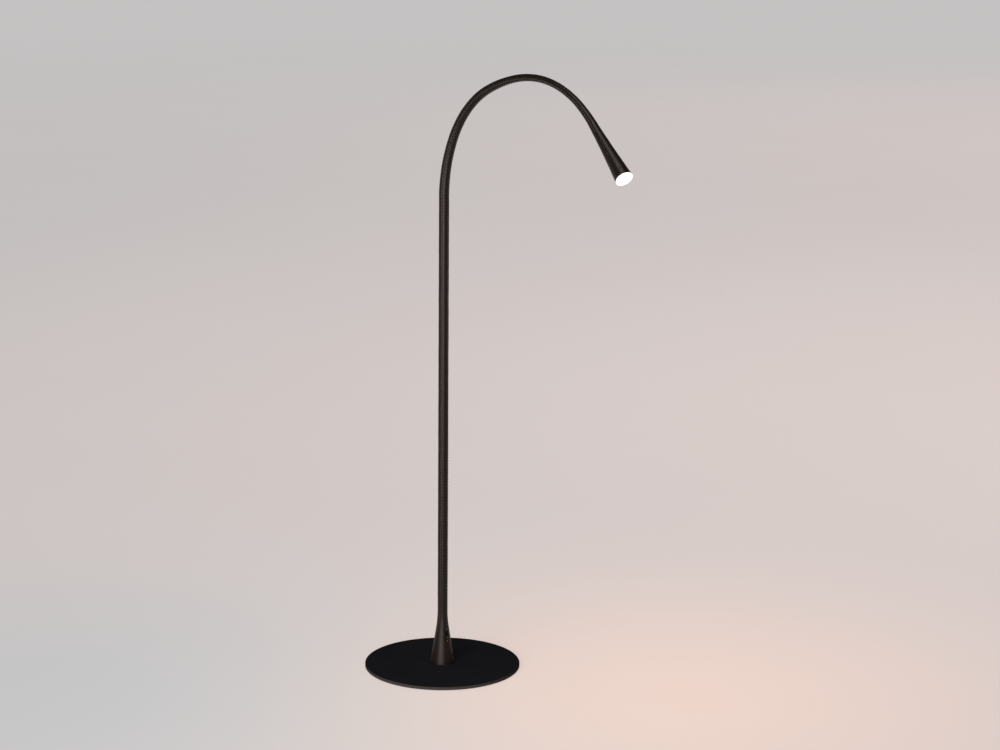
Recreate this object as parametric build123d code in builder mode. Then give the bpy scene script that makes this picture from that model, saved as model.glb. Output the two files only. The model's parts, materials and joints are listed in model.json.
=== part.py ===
from build123d import *
from math import asin, cos, degrees, hypot, radians, sin, sqrt, tan
import os

os.makedirs("parts", exist_ok=True)

# Gooseneck reading floor lamp. Millimetres, +Z up.
# The origin is the centre of the underside, and the arm first bends towards +X.

# ---- base plate and its pad ----
PLATE_DIAMETER = 300.0
PLATE_THICKNESS = 6.0
PLATE_EDGE_ROUND = 0.8
PAD_THICKNESS = 1.0
PAD_SETBACK = 8.0  # the pad stays this far inside the plate's rim

# ---- leather and the metal under it ----
LEATHER = 1.2
GLUE = 0.1  # glue line between the leather and the metal
SKIN = LEATHER + GLUE

# ---- foot: a flared cone that blends into the stem ----
FOOT_RADIUS = 23.4  # outside of the leather, at the bottom
FLARE_HEIGHT = 88.0  # above the plate, where the cone's side would meet the stem's side
FLARE_ROUND = 230.0
FOOT_WALL = 2.2
HEM_HEIGHT = 2.0  # bare metal between the leather's hem and the plate
FLANGE_THICKNESS = 5.0
SHOULDER_RISE = 12.0  # from the flare's top to the shoulder that the stem tube stands on
FOOT_CAP = 18.0  # solid metal between the foot's hollow and its shoulder
SPIGOT_LENGTH = 26.0
FIT = 0.05  # radial clearance of a part that is pressed or glued in place

# ---- stem ----
STEM_RADIUS = 9.6  # outside of the leather
TUBE_WALL = 1.5
FERRULE_PLUG_LENGTH = 24.0
FERRULE_COLLAR = 8.0  # the ferrule's collar, from the tube's end to the first pivot

# ---- gooseneck: links between pivots ----
FIRST_PIVOT_HEIGHT = 914.0
LINK_LENGTH = 62.0
LINK_BENDS = (11.5, 13.0, 18.5, 21.5, 12.0, 16.0, 15.5, 13.5, 9.5)  # degrees, at rest
LINK_TURN = -3.0  # degrees that the bend's plane turns from one link to the next
PIVOT_RADII = (STEM_RADIUS, 9.2, 8.8, 8.35, 7.8, 6.8, 6.5, 6.4, 6.7, 7.9)
BALL_STAND_OUT = 0.25  # the ball at a link's end is larger than the link by this
BALL_GAP = 0.3

# ---- head ----
HEAD_LENGTH = 131.0
HEAD_RADIUS = 16.0  # outside of the leather, at the mouth
HEAD_FLARE_HOLLOW = 0.8  # how far the flare lies inside a straight cone, halfway along
HEAD_WALL = 1.5
HEAD_SOLID_LENGTH = 30.0  # the head's back end, bored only for the lead
LENS_THICKNESS = 3.0
LENS_SETBACK = 0.8  # from the leather's edge
LENS_SKIRT_LENGTH = 5.0
LENS_SKIRT_WALL = 1.2
LENS_CLEARANCE = 0.15
SINK_LENGTH = 16.0
SINK_SETBACK = 32.0  # from the mouth back to the sink's front
BOARD_THICKNESS = 1.6
BOARD_SCREW_RADIUS = 1.0
BOARD_SCREW_HEAD_RADIUS = 1.5
BOARD_SCREW_HEAD = 1.2
BOARD_SCREW_LENGTH = 5.0
EMITTER_RADIUS = 4.8
EMITTER_THICKNESS = 1.1
EMITTER_CLEARANCE = 0.5  # between the emitter and the reflector, and round the board's screws
REFLECTOR_WALL = 0.7
REFLECTOR_LENS_GAP = 8.6
REFLECTOR_SPREAD = 4.2  # how much wider the reflector is at its front

# ---- lead from the driver to the head ----
LEAD_RADIUS = 1.6
LEAD_CLEARANCE = 0.8  # round the lead, in the bores that it runs through

# ---- foot screws, seen from below ----
FOOT_SCREW_COUNT = 3
FOOT_SCREW_AZIMUTH = 60.0
FOOT_SCREW_RADIUS = 2.0
FOOT_SCREW_HEAD_RADIUS = 3.9
FOOT_SCREW_HEAD = 2.2
FOOT_SCREW_DEPTH = 4.0  # into the flange

# ---- grub screws that hold the stem tube and the ferrule ----
GRUB_RADIUS = 1.5
GRUB_LENGTH = 3.0
GRUB_SETBACK = 0.2  # the screw's face lies this far under the tube's surface

# ---- slide switch on the foot ----
SWITCH_AZIMUTH = -16.5
SWITCH_HEIGHT = 58.0
SWITCH_PLATE_LENGTH = 27.0
SWITCH_PLATE_WIDTH = 7.0
SWITCH_PLATE_PROUD = 0.5  # above the leather
SWITCH_SEAT = 0.5  # how deep the plate's seat is cut into the metal
SWITCH_BODY_END_WALL = 1.9
SWITCH_BODY_SIDE_WALL = 1.5
SWITCH_BODY_BOTTOM = 2.2
SWITCH_WINDOW_GAP = 0.2
SWITCH_TRAVEL = 8.0
SWITCH_KNOB_LENGTH = 4.0
SWITCH_KNOB_WIDTH = 5.4
SWITCH_KNOB_HEIGHT = 2.0
SWITCH_KNOB_TAPER = 12.0
SWITCH_STEM_LENGTH = 3.0
SWITCH_STEM_WIDTH = 2.0
SWITCH_STEM_DEPTH = 4.2
SWITCH_CLEARANCE = 0.3
SWITCH_SCREW_SETBACK = 2.3  # from the plate's ends
SWITCH_SCREW_RADIUS = 0.8
SWITCH_SCREW_HEAD_RADIUS = 1.4
SWITCH_SCREW_HEAD = 0.7
SWITCH_SCREW_LENGTH = 2.8

# ---- power socket at the back of the foot ----
SOCKET_AZIMUTH = 150.0
SOCKET_HEIGHT = 28.0
SOCKET_FLANGE = 1.6  # thickness of the collar round its mouth
SOCKET_FLANGE_WIDTH = 1.5
SOCKET_SEAT = 0.7  # how deep the collar's seat is cut into the metal
SOCKET_BORE_RADIUS = 2.9
SOCKET_BORE_DEPTH = 9.0
SOCKET_WALL = 2.0
SOCKET_BOTTOM = 2.6
SOCKET_PIN_RADIUS = 1.0
SOCKET_PIN_ROUND = 0.6
SOCKET_PIN_SETBACK = 1.5  # from the socket's mouth

# ---- driver in the foot, and its wires ----
DRIVER_RADIUS = 11.5
DRIVER_HEIGHT = 15.0
DRIVER_EDGE_ROUND = 1.5
DRIVER_CLEARANCE = 1.5  # between the driver and the foot's flange
WIRE_RADIUS = 0.8
WIRE_BEND = 1.6
WIRE_STUB = 1.9  # straight out of the socket, up to the corner of the bend
WIRE_END_GAP = 0.2  # also the lead's, at the board

OVERRUN = 1.0  # how far a cutting solid reaches past what it cuts

# ---- worked out from the sizes above ----
PLATE_TOP = PAD_THICKNESS + PLATE_THICKNESS
PLATE_RADIUS = PLATE_DIAMETER / 2
SHOULDER = PLATE_TOP + FLARE_HEIGHT + SHOULDER_RISE
HOLLOW_TOP = SHOULDER - FOOT_CAP
WIRE_BORE_RADIUS = LEAD_RADIUS + LEAD_CLEARANCE
FLANGE_BORE_RADIUS = DRIVER_RADIUS + DRIVER_CLEARANCE
FOOT_SCREW_CIRCLE = (FLANGE_BORE_RADIUS + FOOT_RADIUS - SKIN) / 2
TUBE_RADIUS = STEM_RADIUS - SKIN
TUBE_BORE_RADIUS = TUBE_RADIUS - TUBE_WALL
TUBE_END = FIRST_PIVOT_HEIGHT - FERRULE_COLLAR
FLARE_SLOPE = (FOOT_RADIUS - STEM_RADIUS) / FLARE_HEIGHT
FLARE_ANGLE = degrees(asin(FLARE_SLOPE / hypot(1, FLARE_SLOPE)))
BLEND_RUN = FLARE_ROUND * tan(radians(FLARE_ANGLE / 2))
BLEND_LOW = PLATE_TOP + FLARE_HEIGHT - BLEND_RUN * cos(radians(FLARE_ANGLE))
BLEND_HIGH = PLATE_TOP + FLARE_HEIGHT + BLEND_RUN
BALL_RADII = [radius + BALL_STAND_OUT for radius in PIVOT_RADII]


def side_radius(z):
    """Outside radius of the leather on the foot and the stem: cone, blend, then straight."""
    if z <= BLEND_LOW:
        return FOOT_RADIUS - FLARE_SLOPE * (z - PLATE_TOP)
    if z < BLEND_HIGH:
        return STEM_RADIUS + FLARE_ROUND - sqrt(FLARE_ROUND**2 - (BLEND_HIGH - z) ** 2)
    return STEM_RADIUS


def finish(part, label):
    """Give a finished piece its name and write it to its file."""
    part.label = label
    export_step(part, f"parts/{label}.step")


def on_flare(azimuth, height, below=0.0):
    """A plane on the foot's leather: z points out of it, y up along it."""
    out = Vector(cos(radians(azimuth)), sin(radians(azimuth)), 0)
    across = Vector(-sin(radians(azimuth)), cos(radians(azimuth)), 0)
    radius = side_radius(PLATE_TOP + height)
    origin = out * radius + Vector(0, 0, PLATE_TOP + height)
    normal = out * cos(radians(FLARE_ANGLE)) + Vector(0, 0, sin(radians(FLARE_ANGLE)))
    return Plane(origin=origin - normal * below, x_dir=across, z_dir=normal)


def next_pivot(pivot, bend):
    """The pivot at a link's far end: the link bends towards x, then the next bend's plane turns."""
    angle = radians(bend)
    radius = LINK_LENGTH / angle
    origin = (
        pivot.origin
        + pivot.x_dir * radius * (1 - cos(angle))
        + pivot.z_dir * radius * sin(angle)
    )
    along = pivot.z_dir * cos(angle) + pivot.x_dir * sin(angle)
    inward = pivot.x_dir * cos(angle) - pivot.z_dir * sin(angle)
    turned = inward.rotate(Axis((0, 0, 0), along), LINK_TURN)
    return Plane(origin=origin, x_dir=turned, z_dir=along)


# The pivots' planes: z runs along the arm, x points to the inside of the next bend.
pivots = [Plane(origin=(0, 0, FIRST_PIVOT_HEIGHT), x_dir=(1, 0, 0), z_dir=(0, 0, 1))]
for link_bend in LINK_BENDS:
    pivots.append(next_pivot(pivots[-1], link_bend))
head = pivots[-1]


def beyond_ball(pivot, ball):
    """What a link's end loses so that it ends in a ball about the pivot."""
    block = Solid.make_cylinder(ball + OVERRUN, ball + OVERRUN, pivot)
    return block - Solid.make_sphere(ball, angle1=-90).moved(Location(pivot.origin))


# ---- base plate, pad and screws ----
screw_places = PolarLocations(
    FOOT_SCREW_CIRCLE,
    FOOT_SCREW_COUNT,
    start_angle=FOOT_SCREW_AZIMUTH,
)

with BuildPart() as base_plate:
    with BuildSketch(Plane.XY.offset(PAD_THICKNESS)):
        Circle(PLATE_RADIUS)
    extrude(amount=PLATE_THICKNESS)
    rims = base_plate.edges().filter_by(GeomType.CIRCLE)
    fillet(rims, PLATE_EDGE_ROUND)
    with BuildSketch(Plane.XY.offset(PAD_THICKNESS)):
        with screw_places:
            Circle(FOOT_SCREW_RADIUS + FIT)
    extrude(amount=PLATE_THICKNESS, mode=Mode.SUBTRACT)
    with BuildSketch(Plane.XY.offset(PAD_THICKNESS)):
        with screw_places:
            Circle(FOOT_SCREW_HEAD_RADIUS + FIT)
    extrude(amount=FOOT_SCREW_HEAD + FIT, mode=Mode.SUBTRACT)
finish(base_plate.part, "base_plate")

with BuildPart() as base_pad:
    Cylinder(
        PLATE_RADIUS - PAD_SETBACK,
        PAD_THICKNESS,
        align=(Align.CENTER, Align.CENTER, Align.MIN),
    )
finish(base_pad.part, "base_pad")

with BuildPart() as foot_screws:
    with BuildSketch(Plane.XY.offset(PAD_THICKNESS)):
        with screw_places:
            Circle(FOOT_SCREW_HEAD_RADIUS)
    extrude(amount=FOOT_SCREW_HEAD)
    with BuildSketch(Plane.XY.offset(PAD_THICKNESS)):
        with screw_places:
            Circle(FOOT_SCREW_RADIUS)
    extrude(amount=PLATE_THICKNESS + FOOT_SCREW_DEPTH)
finish(foot_screws.part, "foot_screws")


# ---- foot ----
def side_point(z, inset):
    """The point of the side line at a height, set in from the leather's outside."""
    return (side_radius(z) - inset, z)


def draw_side(inset, bottom, top):
    """Draw the side line: the cone's side, the blend and, above it, the stem's side."""
    blend_end = min(top, BLEND_HIGH)
    Line(side_point(bottom, inset), side_point(BLEND_LOW, inset))
    ThreePointArc(
        side_point(BLEND_LOW, inset),
        side_point((BLEND_LOW + blend_end) / 2, inset),
        side_point(blend_end, inset),
    )
    if top > BLEND_HIGH:
        Line(side_point(BLEND_HIGH, inset), side_point(top, inset))


switch_pocket = on_flare(SWITCH_AZIMUTH, SWITCH_HEIGHT, SKIN + SWITCH_SEAT)
slot_length = SWITCH_TRAVEL + SWITCH_STEM_LENGTH + 2 * SWITCH_CLEARANCE
slot_width = SWITCH_STEM_WIDTH + 2 * SWITCH_CLEARANCE
switch_body_length = slot_length + 2 * SWITCH_BODY_END_WALL
switch_body_width = slot_width + 2 * SWITCH_BODY_SIDE_WALL
switch_body_depth = SWITCH_STEM_DEPTH + SWITCH_BODY_BOTTOM
switch_screw_spacing = SWITCH_PLATE_LENGTH - 2 * SWITCH_SCREW_SETBACK
plate_depth = SKIN + SWITCH_SEAT + SWITCH_PLATE_PROUD

socket_pocket = on_flare(SOCKET_AZIMUTH, SOCKET_HEIGHT, SKIN + SOCKET_SEAT)
socket_body_radius = SOCKET_BORE_RADIUS + SOCKET_WALL
socket_flange_radius = socket_body_radius + SOCKET_FLANGE_WIDTH
socket_depth = SOCKET_BORE_DEPTH + SOCKET_BOTTOM - SOCKET_FLANGE

# What the switch's plate and the socket's flange take out of the leather and the cone.
with BuildPart() as pockets:
    with BuildSketch(switch_pocket):
        SlotOverall(
            SWITCH_PLATE_LENGTH + 2 * SWITCH_CLEARANCE,
            SWITCH_PLATE_WIDTH + 2 * SWITCH_CLEARANCE,
            rotation=90,
        )
    extrude(amount=FOOT_RADIUS)
    with BuildSketch(socket_pocket):
        Circle(socket_flange_radius + FIT)
    extrude(amount=FOOT_RADIUS)


with BuildPart() as foot_cone:
    with BuildSketch(Plane.XZ):
        with BuildLine():
            draw_side(SKIN, PLATE_TOP, SHOULDER)
            Polyline(
                side_point(SHOULDER, SKIN),
                (TUBE_BORE_RADIUS - FIT, SHOULDER),
                (TUBE_BORE_RADIUS - FIT, SHOULDER + SPIGOT_LENGTH),
                (WIRE_BORE_RADIUS, SHOULDER + SPIGOT_LENGTH),
                (WIRE_BORE_RADIUS, HOLLOW_TOP),
                side_point(HOLLOW_TOP, SKIN + FOOT_WALL),
                side_point(PLATE_TOP + FLANGE_THICKNESS, SKIN + FOOT_WALL),
                (FLANGE_BORE_RADIUS, PLATE_TOP + FLANGE_THICKNESS),
                (FLANGE_BORE_RADIUS, PLATE_TOP),
                side_point(PLATE_TOP, SKIN),
            )
        make_face()
    revolve(axis=Axis.Z)
    add(pockets.part, mode=Mode.SUBTRACT)
    with BuildSketch(switch_pocket):
        Rectangle(
            switch_body_width + 2 * SWITCH_WINDOW_GAP,
            switch_body_length + 2 * SWITCH_WINDOW_GAP,
        )
    extrude(amount=-switch_body_depth, mode=Mode.SUBTRACT)
    with BuildSketch(switch_pocket):
        with GridLocations(0, switch_screw_spacing, 1, 2):
            Circle(SWITCH_SCREW_RADIUS + FIT)
    extrude(amount=-SWITCH_SCREW_LENGTH, mode=Mode.SUBTRACT)
    with BuildSketch(socket_pocket):
        Circle(socket_body_radius + FIT)
    extrude(amount=-socket_depth, mode=Mode.SUBTRACT)
    with BuildSketch(Plane.XY.offset(PLATE_TOP)):
        with screw_places:
            Circle(FOOT_SCREW_RADIUS + FIT)
    extrude(amount=FOOT_SCREW_DEPTH + FIT, mode=Mode.SUBTRACT)
    with BuildSketch(Plane.YZ.offset(-FOOT_RADIUS)):
        with Locations((0, SHOULDER + SPIGOT_LENGTH / 2)):
            Circle(GRUB_RADIUS + FIT)
    extrude(amount=2 * FOOT_RADIUS, mode=Mode.SUBTRACT)
finish(foot_cone.part, "foot_cone")

# The leather sheath is one piece over the foot and the stem, up to the first pivot.
hem = PLATE_TOP + HEM_HEIGHT
sheath_top = FIRST_PIVOT_HEIGHT + BALL_RADII[0]

with BuildPart() as stem_sheath:
    with BuildSketch(Plane.XZ):
        with BuildLine():
            draw_side(0, hem, sheath_top)
            draw_side(LEATHER, hem, sheath_top)
            Line(side_point(hem, 0), side_point(hem, LEATHER))
            Line(side_point(sheath_top, 0), side_point(sheath_top, LEATHER))
        make_face()
    revolve(axis=Axis.Z)
    add(pockets.part, mode=Mode.SUBTRACT)
    add(beyond_ball(pivots[0], BALL_RADII[0]), mode=Mode.SUBTRACT)
finish(stem_sheath.part, "stem_sheath")

# ---- stem tube, the ferrule at its top and the grub screws ----
spigot_grub_height = SHOULDER + SPIGOT_LENGTH / 2
plug_grub_height = TUBE_END - FERRULE_PLUG_LENGTH / 2

with BuildPart() as stem_tube:
    with BuildSketch(Plane.XY.offset(SHOULDER)):
        Circle(TUBE_RADIUS)
        Circle(TUBE_BORE_RADIUS, mode=Mode.SUBTRACT)
    extrude(amount=TUBE_END - SHOULDER)
    with BuildSketch(Plane.YZ.offset(-TUBE_RADIUS)):
        with Locations((0, spigot_grub_height), (0, plug_grub_height)):
            Circle(GRUB_RADIUS + FIT)
    extrude(amount=2 * TUBE_RADIUS, mode=Mode.SUBTRACT)
finish(stem_tube.part, "stem_tube")

with BuildPart() as stem_ferrule:
    with BuildSketch(Plane.XZ):
        with BuildLine():
            Polyline(
                (WIRE_BORE_RADIUS, TUBE_END - FERRULE_PLUG_LENGTH),
                (TUBE_BORE_RADIUS - FIT, TUBE_END - FERRULE_PLUG_LENGTH),
                (TUBE_BORE_RADIUS - FIT, TUBE_END),
                (TUBE_RADIUS, TUBE_END),
                (TUBE_RADIUS, FIRST_PIVOT_HEIGHT + BALL_RADII[0]),
                (WIRE_BORE_RADIUS, FIRST_PIVOT_HEIGHT + BALL_RADII[0]),
                close=True,
            )
        make_face()
    revolve(axis=Axis.Z)
    add(beyond_ball(pivots[0], BALL_RADII[0]), mode=Mode.SUBTRACT)
    with BuildSketch(Plane.YZ.offset(-TUBE_RADIUS)):
        with Locations((0, plug_grub_height)):
            Circle(GRUB_RADIUS + FIT)
    extrude(amount=2 * TUBE_RADIUS, mode=Mode.SUBTRACT)
finish(stem_ferrule.part, "stem_ferrule")

with BuildPart() as grub_screws:
    for side_sign in (-1, 1):
        start = side_sign * (TUBE_RADIUS - GRUB_SETBACK)
        with BuildSketch(Plane.YZ.offset(start)):
            with Locations((0, spigot_grub_height), (0, plug_grub_height)):
                Circle(GRUB_RADIUS)
        extrude(amount=-side_sign * GRUB_LENGTH)
finish(grub_screws.part, "grub_screws")

# ---- slide switch: the knob rests at the lower end of its slot ----
knob_rest = -SWITCH_TRAVEL / 2

with BuildPart() as switch_plate:
    with BuildSketch(switch_pocket):
        SlotOverall(SWITCH_PLATE_LENGTH, SWITCH_PLATE_WIDTH, rotation=90)
        Rectangle(slot_width, slot_length, mode=Mode.SUBTRACT)
        with GridLocations(0, switch_screw_spacing, 1, 2):
            Circle(SWITCH_SCREW_RADIUS + FIT, mode=Mode.SUBTRACT)
    extrude(amount=plate_depth)
finish(switch_plate.part, "switch_plate")

with BuildPart() as switch_screws:
    with BuildSketch(switch_pocket.offset(plate_depth)):
        with GridLocations(0, switch_screw_spacing, 1, 2):
            Circle(SWITCH_SCREW_HEAD_RADIUS)
    extrude(amount=SWITCH_SCREW_HEAD)
    with BuildSketch(switch_pocket.offset(plate_depth)):
        with GridLocations(0, switch_screw_spacing, 1, 2):
            Circle(SWITCH_SCREW_RADIUS)
    extrude(amount=-plate_depth - SWITCH_SCREW_LENGTH + FIT)
finish(switch_screws.part, "switch_screws")

with BuildPart() as switch_body:
    with BuildSketch(switch_pocket):
        Rectangle(switch_body_width, switch_body_length)
    extrude(amount=-switch_body_depth)
    with BuildSketch(switch_pocket):
        Rectangle(slot_width, slot_length)
    extrude(amount=-SWITCH_STEM_DEPTH, mode=Mode.SUBTRACT)
finish(switch_body.part, "switch_body")

with BuildPart() as switch_knob:
    knob_base = switch_pocket.offset(plate_depth + SWITCH_CLEARANCE)
    with BuildSketch(knob_base):
        with Locations((0, knob_rest)):
            Rectangle(SWITCH_KNOB_WIDTH, SWITCH_KNOB_LENGTH)
    extrude(amount=SWITCH_KNOB_HEIGHT, taper=SWITCH_KNOB_TAPER)
    with BuildSketch(knob_base):
        with Locations((0, knob_rest)):
            Rectangle(SWITCH_STEM_WIDTH, SWITCH_STEM_LENGTH)
    extrude(amount=-plate_depth - SWITCH_STEM_DEPTH + SWITCH_CLEARANCE)
finish(switch_knob.part, "switch_knob")

# ---- power socket ----
with BuildPart() as power_socket:
    with BuildSketch(socket_pocket):
        Circle(socket_flange_radius)
    extrude(amount=SOCKET_FLANGE)
    with BuildSketch(socket_pocket):
        Circle(socket_body_radius)
    extrude(amount=-socket_depth)
    with BuildSketch(socket_pocket.offset(SOCKET_FLANGE)):
        Circle(SOCKET_BORE_RADIUS)
    extrude(amount=-SOCKET_BORE_DEPTH, mode=Mode.SUBTRACT)
finish(power_socket.part, "power_socket")

socket_axis = Axis(socket_pocket.origin, socket_pocket.z_dir)

with BuildPart() as socket_pin:
    with BuildSketch(socket_pocket.offset(SOCKET_FLANGE - SOCKET_BORE_DEPTH)):
        Circle(SOCKET_PIN_RADIUS)
    extrude(amount=SOCKET_BORE_DEPTH - SOCKET_PIN_SETBACK)
    pin_tip = socket_pin.edges().sort_by(socket_axis)[-1]
    fillet(pin_tip, SOCKET_PIN_ROUND)
finish(socket_pin.part, "socket_pin")

# ---- driver and its wires ----
driver_top = PLATE_TOP + DRIVER_HEIGHT

with BuildPart() as driver_module:
    with BuildSketch(Plane.XY.offset(PLATE_TOP)):
        Circle(DRIVER_RADIUS)
    extrude(amount=DRIVER_HEIGHT)
    fillet(driver_module.edges().group_by(Axis.Z)[-1], DRIVER_EDGE_ROUND)
finish(driver_module.part, "driver_module")

# One wire runs from the socket's back and one from the switch's lower end, down to the driver.
socket_back = socket_pocket.offset(-socket_depth - WIRE_END_GAP)
corner = socket_back.origin - socket_back.z_dir * WIRE_STUB
switch_end = (
    switch_pocket.origin
    - switch_pocket.z_dir * switch_body_depth / 2
    - switch_pocket.y_dir * switch_body_length / 2
)
switch_wire_top = switch_end.Z - WIRE_END_GAP - WIRE_RADIUS * FLARE_SLOPE

with BuildPart() as foot_wires:
    with BuildLine() as socket_wire:
        FilletPolyline(
            socket_back.origin,
            corner,
            (corner.X, corner.Y, driver_top),
            radius=WIRE_BEND,
        )
    with BuildSketch(Plane(origin=socket_wire.line @ 0, z_dir=socket_wire.line % 0)):
        Circle(WIRE_RADIUS)
    sweep(path=socket_wire.line)
    with BuildSketch(Plane(origin=(switch_end.X, switch_end.Y, driver_top))):
        Circle(WIRE_RADIUS)
    extrude(amount=switch_wire_top - driver_top)
finish(foot_wires.part, "foot_wires")


# ---- gooseneck links ----
def link_arc(start, end):
    """The centre line of a link, from one pivot to the next."""
    return TangentArc(start.origin, end.origin, tangent=start.z_dir)


def build_limb(start, end, start_radius, end_radius, overrun):
    """A solid curved cone from pivot to pivot that runs straight on past the second one."""
    with BuildPart() as limb:
        with BuildLine() as centre_line:
            link_arc(start, end)
        with BuildSketch(start):
            Circle(start_radius)
        with BuildSketch(end):
            Circle(end_radius)
        sweep(path=centre_line.line, multisection=True)
        with BuildSketch(end):
            Circle(end_radius)
        extrude(amount=overrun)
    return limb.part


def build_link_layer(number, outer_radii, bore_radii, label):
    """One layer of a link, ended by its ball in front and by the last link's ball behind."""
    start, end = pivots[number], pivots[number + 1]
    ball, last_ball = BALL_RADII[number + 1], BALL_RADII[number]
    outer = build_limb(start, end, *outer_radii, ball)
    inner = build_limb(start, end, *bore_radii, ball + OVERRUN)
    with BuildPart() as layer:
        add(outer)
        add(inner, mode=Mode.SUBTRACT)
        add(beyond_ball(end, ball), mode=Mode.SUBTRACT)
        with Locations(start.location):
            Sphere(last_ball + BALL_GAP, mode=Mode.SUBTRACT)
    finish(layer.part, label)


for number, (near, away) in enumerate(zip(PIVOT_RADII, PIVOT_RADII[1:])):
    core = (near - SKIN, away - SKIN)
    wire_bore = (WIRE_BORE_RADIUS, WIRE_BORE_RADIUS)
    leather_inside = (near - LEATHER, away - LEATHER)
    build_link_layer(number, core, wire_bore, f"neck_core_{number + 1}")
    build_link_layer(number, (near, away), leather_inside, f"neck_sleeve_{number + 1}")

# ---- head ----
# Its pieces are turned about the last pivot's z axis, on this plane: x out, y along the axis.
head_section = Plane(origin=head.origin, x_dir=head.x_dir, z_dir=-head.y_dir)
head_axis = Axis(head.origin, head.z_dir)
NECK_RADIUS = PIVOT_RADII[-1]


def head_radius(along):
    """Outside radius of the head's leather at a distance from the last pivot."""
    share = along / HEAD_LENGTH
    hollow = HEAD_FLARE_HOLLOW * 4 * share * (1 - share)
    return NECK_RADIUS + (HEAD_RADIUS - NECK_RADIUS) * share - hollow


def head_side(inset, low, high):
    """The head's side line between two distances from the last pivot, set in."""
    middle = (low + high) / 2
    return ThreePointArc(
        (head_radius(low) - inset, low),
        (head_radius(middle) - inset, middle),
        (head_radius(high) - inset, high),
    )


lens_front = HEAD_LENGTH - LENS_SETBACK
lens_back = lens_front - LENS_THICKNESS
lens_radius = head_radius(lens_back) - SKIN - LENS_CLEARANCE
cavity_inset = SKIN + HEAD_WALL
sink_front = HEAD_LENGTH - SINK_SETBACK
sink_back = sink_front - SINK_LENGTH
board_front = sink_front + BOARD_THICKNESS
skirt_radius = head_radius(lens_back - LENS_SKIRT_LENGTH) - cavity_inset - LENS_CLEARANCE
board_radius = head_radius(sink_front) - cavity_inset - LENS_CLEARANCE
reflector_front = lens_back - REFLECTOR_LENS_GAP
reflector_base = EMITTER_RADIUS + EMITTER_CLEARANCE
reflector_side = reflector_base + REFLECTOR_WALL
board_screw_circle = reflector_side + EMITTER_CLEARANCE + BOARD_SCREW_HEAD_RADIUS
head_ball = BALL_RADII[-1] + BALL_GAP

with BuildPart() as head_housing:
    with BuildSketch(head_section):
        with BuildLine():
            shell = head_side(SKIN, 0, lens_back)
            cavity = head_side(cavity_inset, HEAD_SOLID_LENGTH, lens_back)
            Line(shell @ 1, cavity @ 1)
            Polyline(
                cavity @ 0,
                (WIRE_BORE_RADIUS, HEAD_SOLID_LENGTH),
                (WIRE_BORE_RADIUS, 0),
                shell @ 0,
            )
        make_face()
    revolve(axis=head_axis)
    with Locations(head.location):
        Sphere(head_ball, mode=Mode.SUBTRACT)
finish(head_housing.part, "head_housing")

with BuildPart() as head_sleeve:
    with BuildSketch(head_section):
        with BuildLine():
            outer_skin = head_side(0, 0, HEAD_LENGTH)
            inner_skin = head_side(LEATHER, 0, HEAD_LENGTH)
            Line(outer_skin @ 0, inner_skin @ 0)
            Line(outer_skin @ 1, inner_skin @ 1)
        make_face()
    revolve(axis=head_axis)
    with Locations(head.location):
        Sphere(head_ball, mode=Mode.SUBTRACT)
finish(head_sleeve.part, "head_sleeve")

with BuildPart() as heat_sink:
    with BuildSketch(head_section):
        with BuildLine():
            sink_side = head_side(cavity_inset + FIT, sink_back, sink_front)
            Polyline(
                sink_side @ 1,
                (WIRE_BORE_RADIUS, sink_front),
                (WIRE_BORE_RADIUS, sink_back),
                sink_side @ 0,
            )
        make_face()
    revolve(axis=head_axis)
    with BuildSketch(head.offset(sink_front)):
        with PolarLocations(board_screw_circle, 2):
            Circle(BOARD_SCREW_RADIUS + FIT)
    extrude(amount=-BOARD_SCREW_LENGTH, mode=Mode.SUBTRACT)
finish(heat_sink.part, "heat_sink")

with BuildPart() as led_board:
    with BuildSketch(head.offset(sink_front)):
        Circle(board_radius)
        with PolarLocations(board_screw_circle, 2):
            Circle(BOARD_SCREW_RADIUS + FIT, mode=Mode.SUBTRACT)
    extrude(amount=BOARD_THICKNESS)
finish(led_board.part, "led_board")

with BuildPart() as board_screws:
    with BuildSketch(head.offset(board_front)):
        with PolarLocations(board_screw_circle, 2):
            Circle(BOARD_SCREW_HEAD_RADIUS)
    extrude(amount=BOARD_SCREW_HEAD)
    with BuildSketch(head.offset(board_front)):
        with PolarLocations(board_screw_circle, 2):
            Circle(BOARD_SCREW_RADIUS)
    extrude(amount=-BOARD_SCREW_LENGTH)
finish(board_screws.part, "board_screws")

with BuildPart() as led_emitter:
    with BuildSketch(head.offset(board_front)):
        Circle(EMITTER_RADIUS)
    extrude(amount=EMITTER_THICKNESS)
finish(led_emitter.part, "led_emitter")

with BuildPart() as reflector:
    with BuildSketch(head_section):
        with BuildLine():
            Polyline(
                (reflector_base, board_front),
                (reflector_side, board_front),
                (reflector_side + REFLECTOR_SPREAD, reflector_front),
                (reflector_base + REFLECTOR_SPREAD, reflector_front),
                close=True,
            )
        make_face()
    revolve(axis=head_axis)
finish(reflector.part, "reflector")

with BuildPart() as front_lens:
    with BuildSketch(head.offset(lens_back)):
        Circle(lens_radius)
    extrude(amount=LENS_THICKNESS)
    with BuildSketch(head.offset(lens_back)):
        Circle(skirt_radius)
        Circle(skirt_radius - LENS_SKIRT_WALL, mode=Mode.SUBTRACT)
    extrude(amount=-LENS_SKIRT_LENGTH)
finish(front_lens.part, "front_lens")

# ---- lead: from the driver up the stem, along the neck and into the head ----
with BuildPart() as lead:
    with BuildLine() as lead_path:
        Line((0, 0, driver_top), pivots[0].origin)
        for start, end in zip(pivots, pivots[1:]):
            link_arc(start, end)
        Line(head.origin, head.offset(sink_front - WIRE_END_GAP).origin)
    with BuildSketch(Plane.XY.offset(driver_top)):
        Circle(LEAD_RADIUS)
    sweep(path=lead_path.line)
finish(lead.part, "lead")

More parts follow.
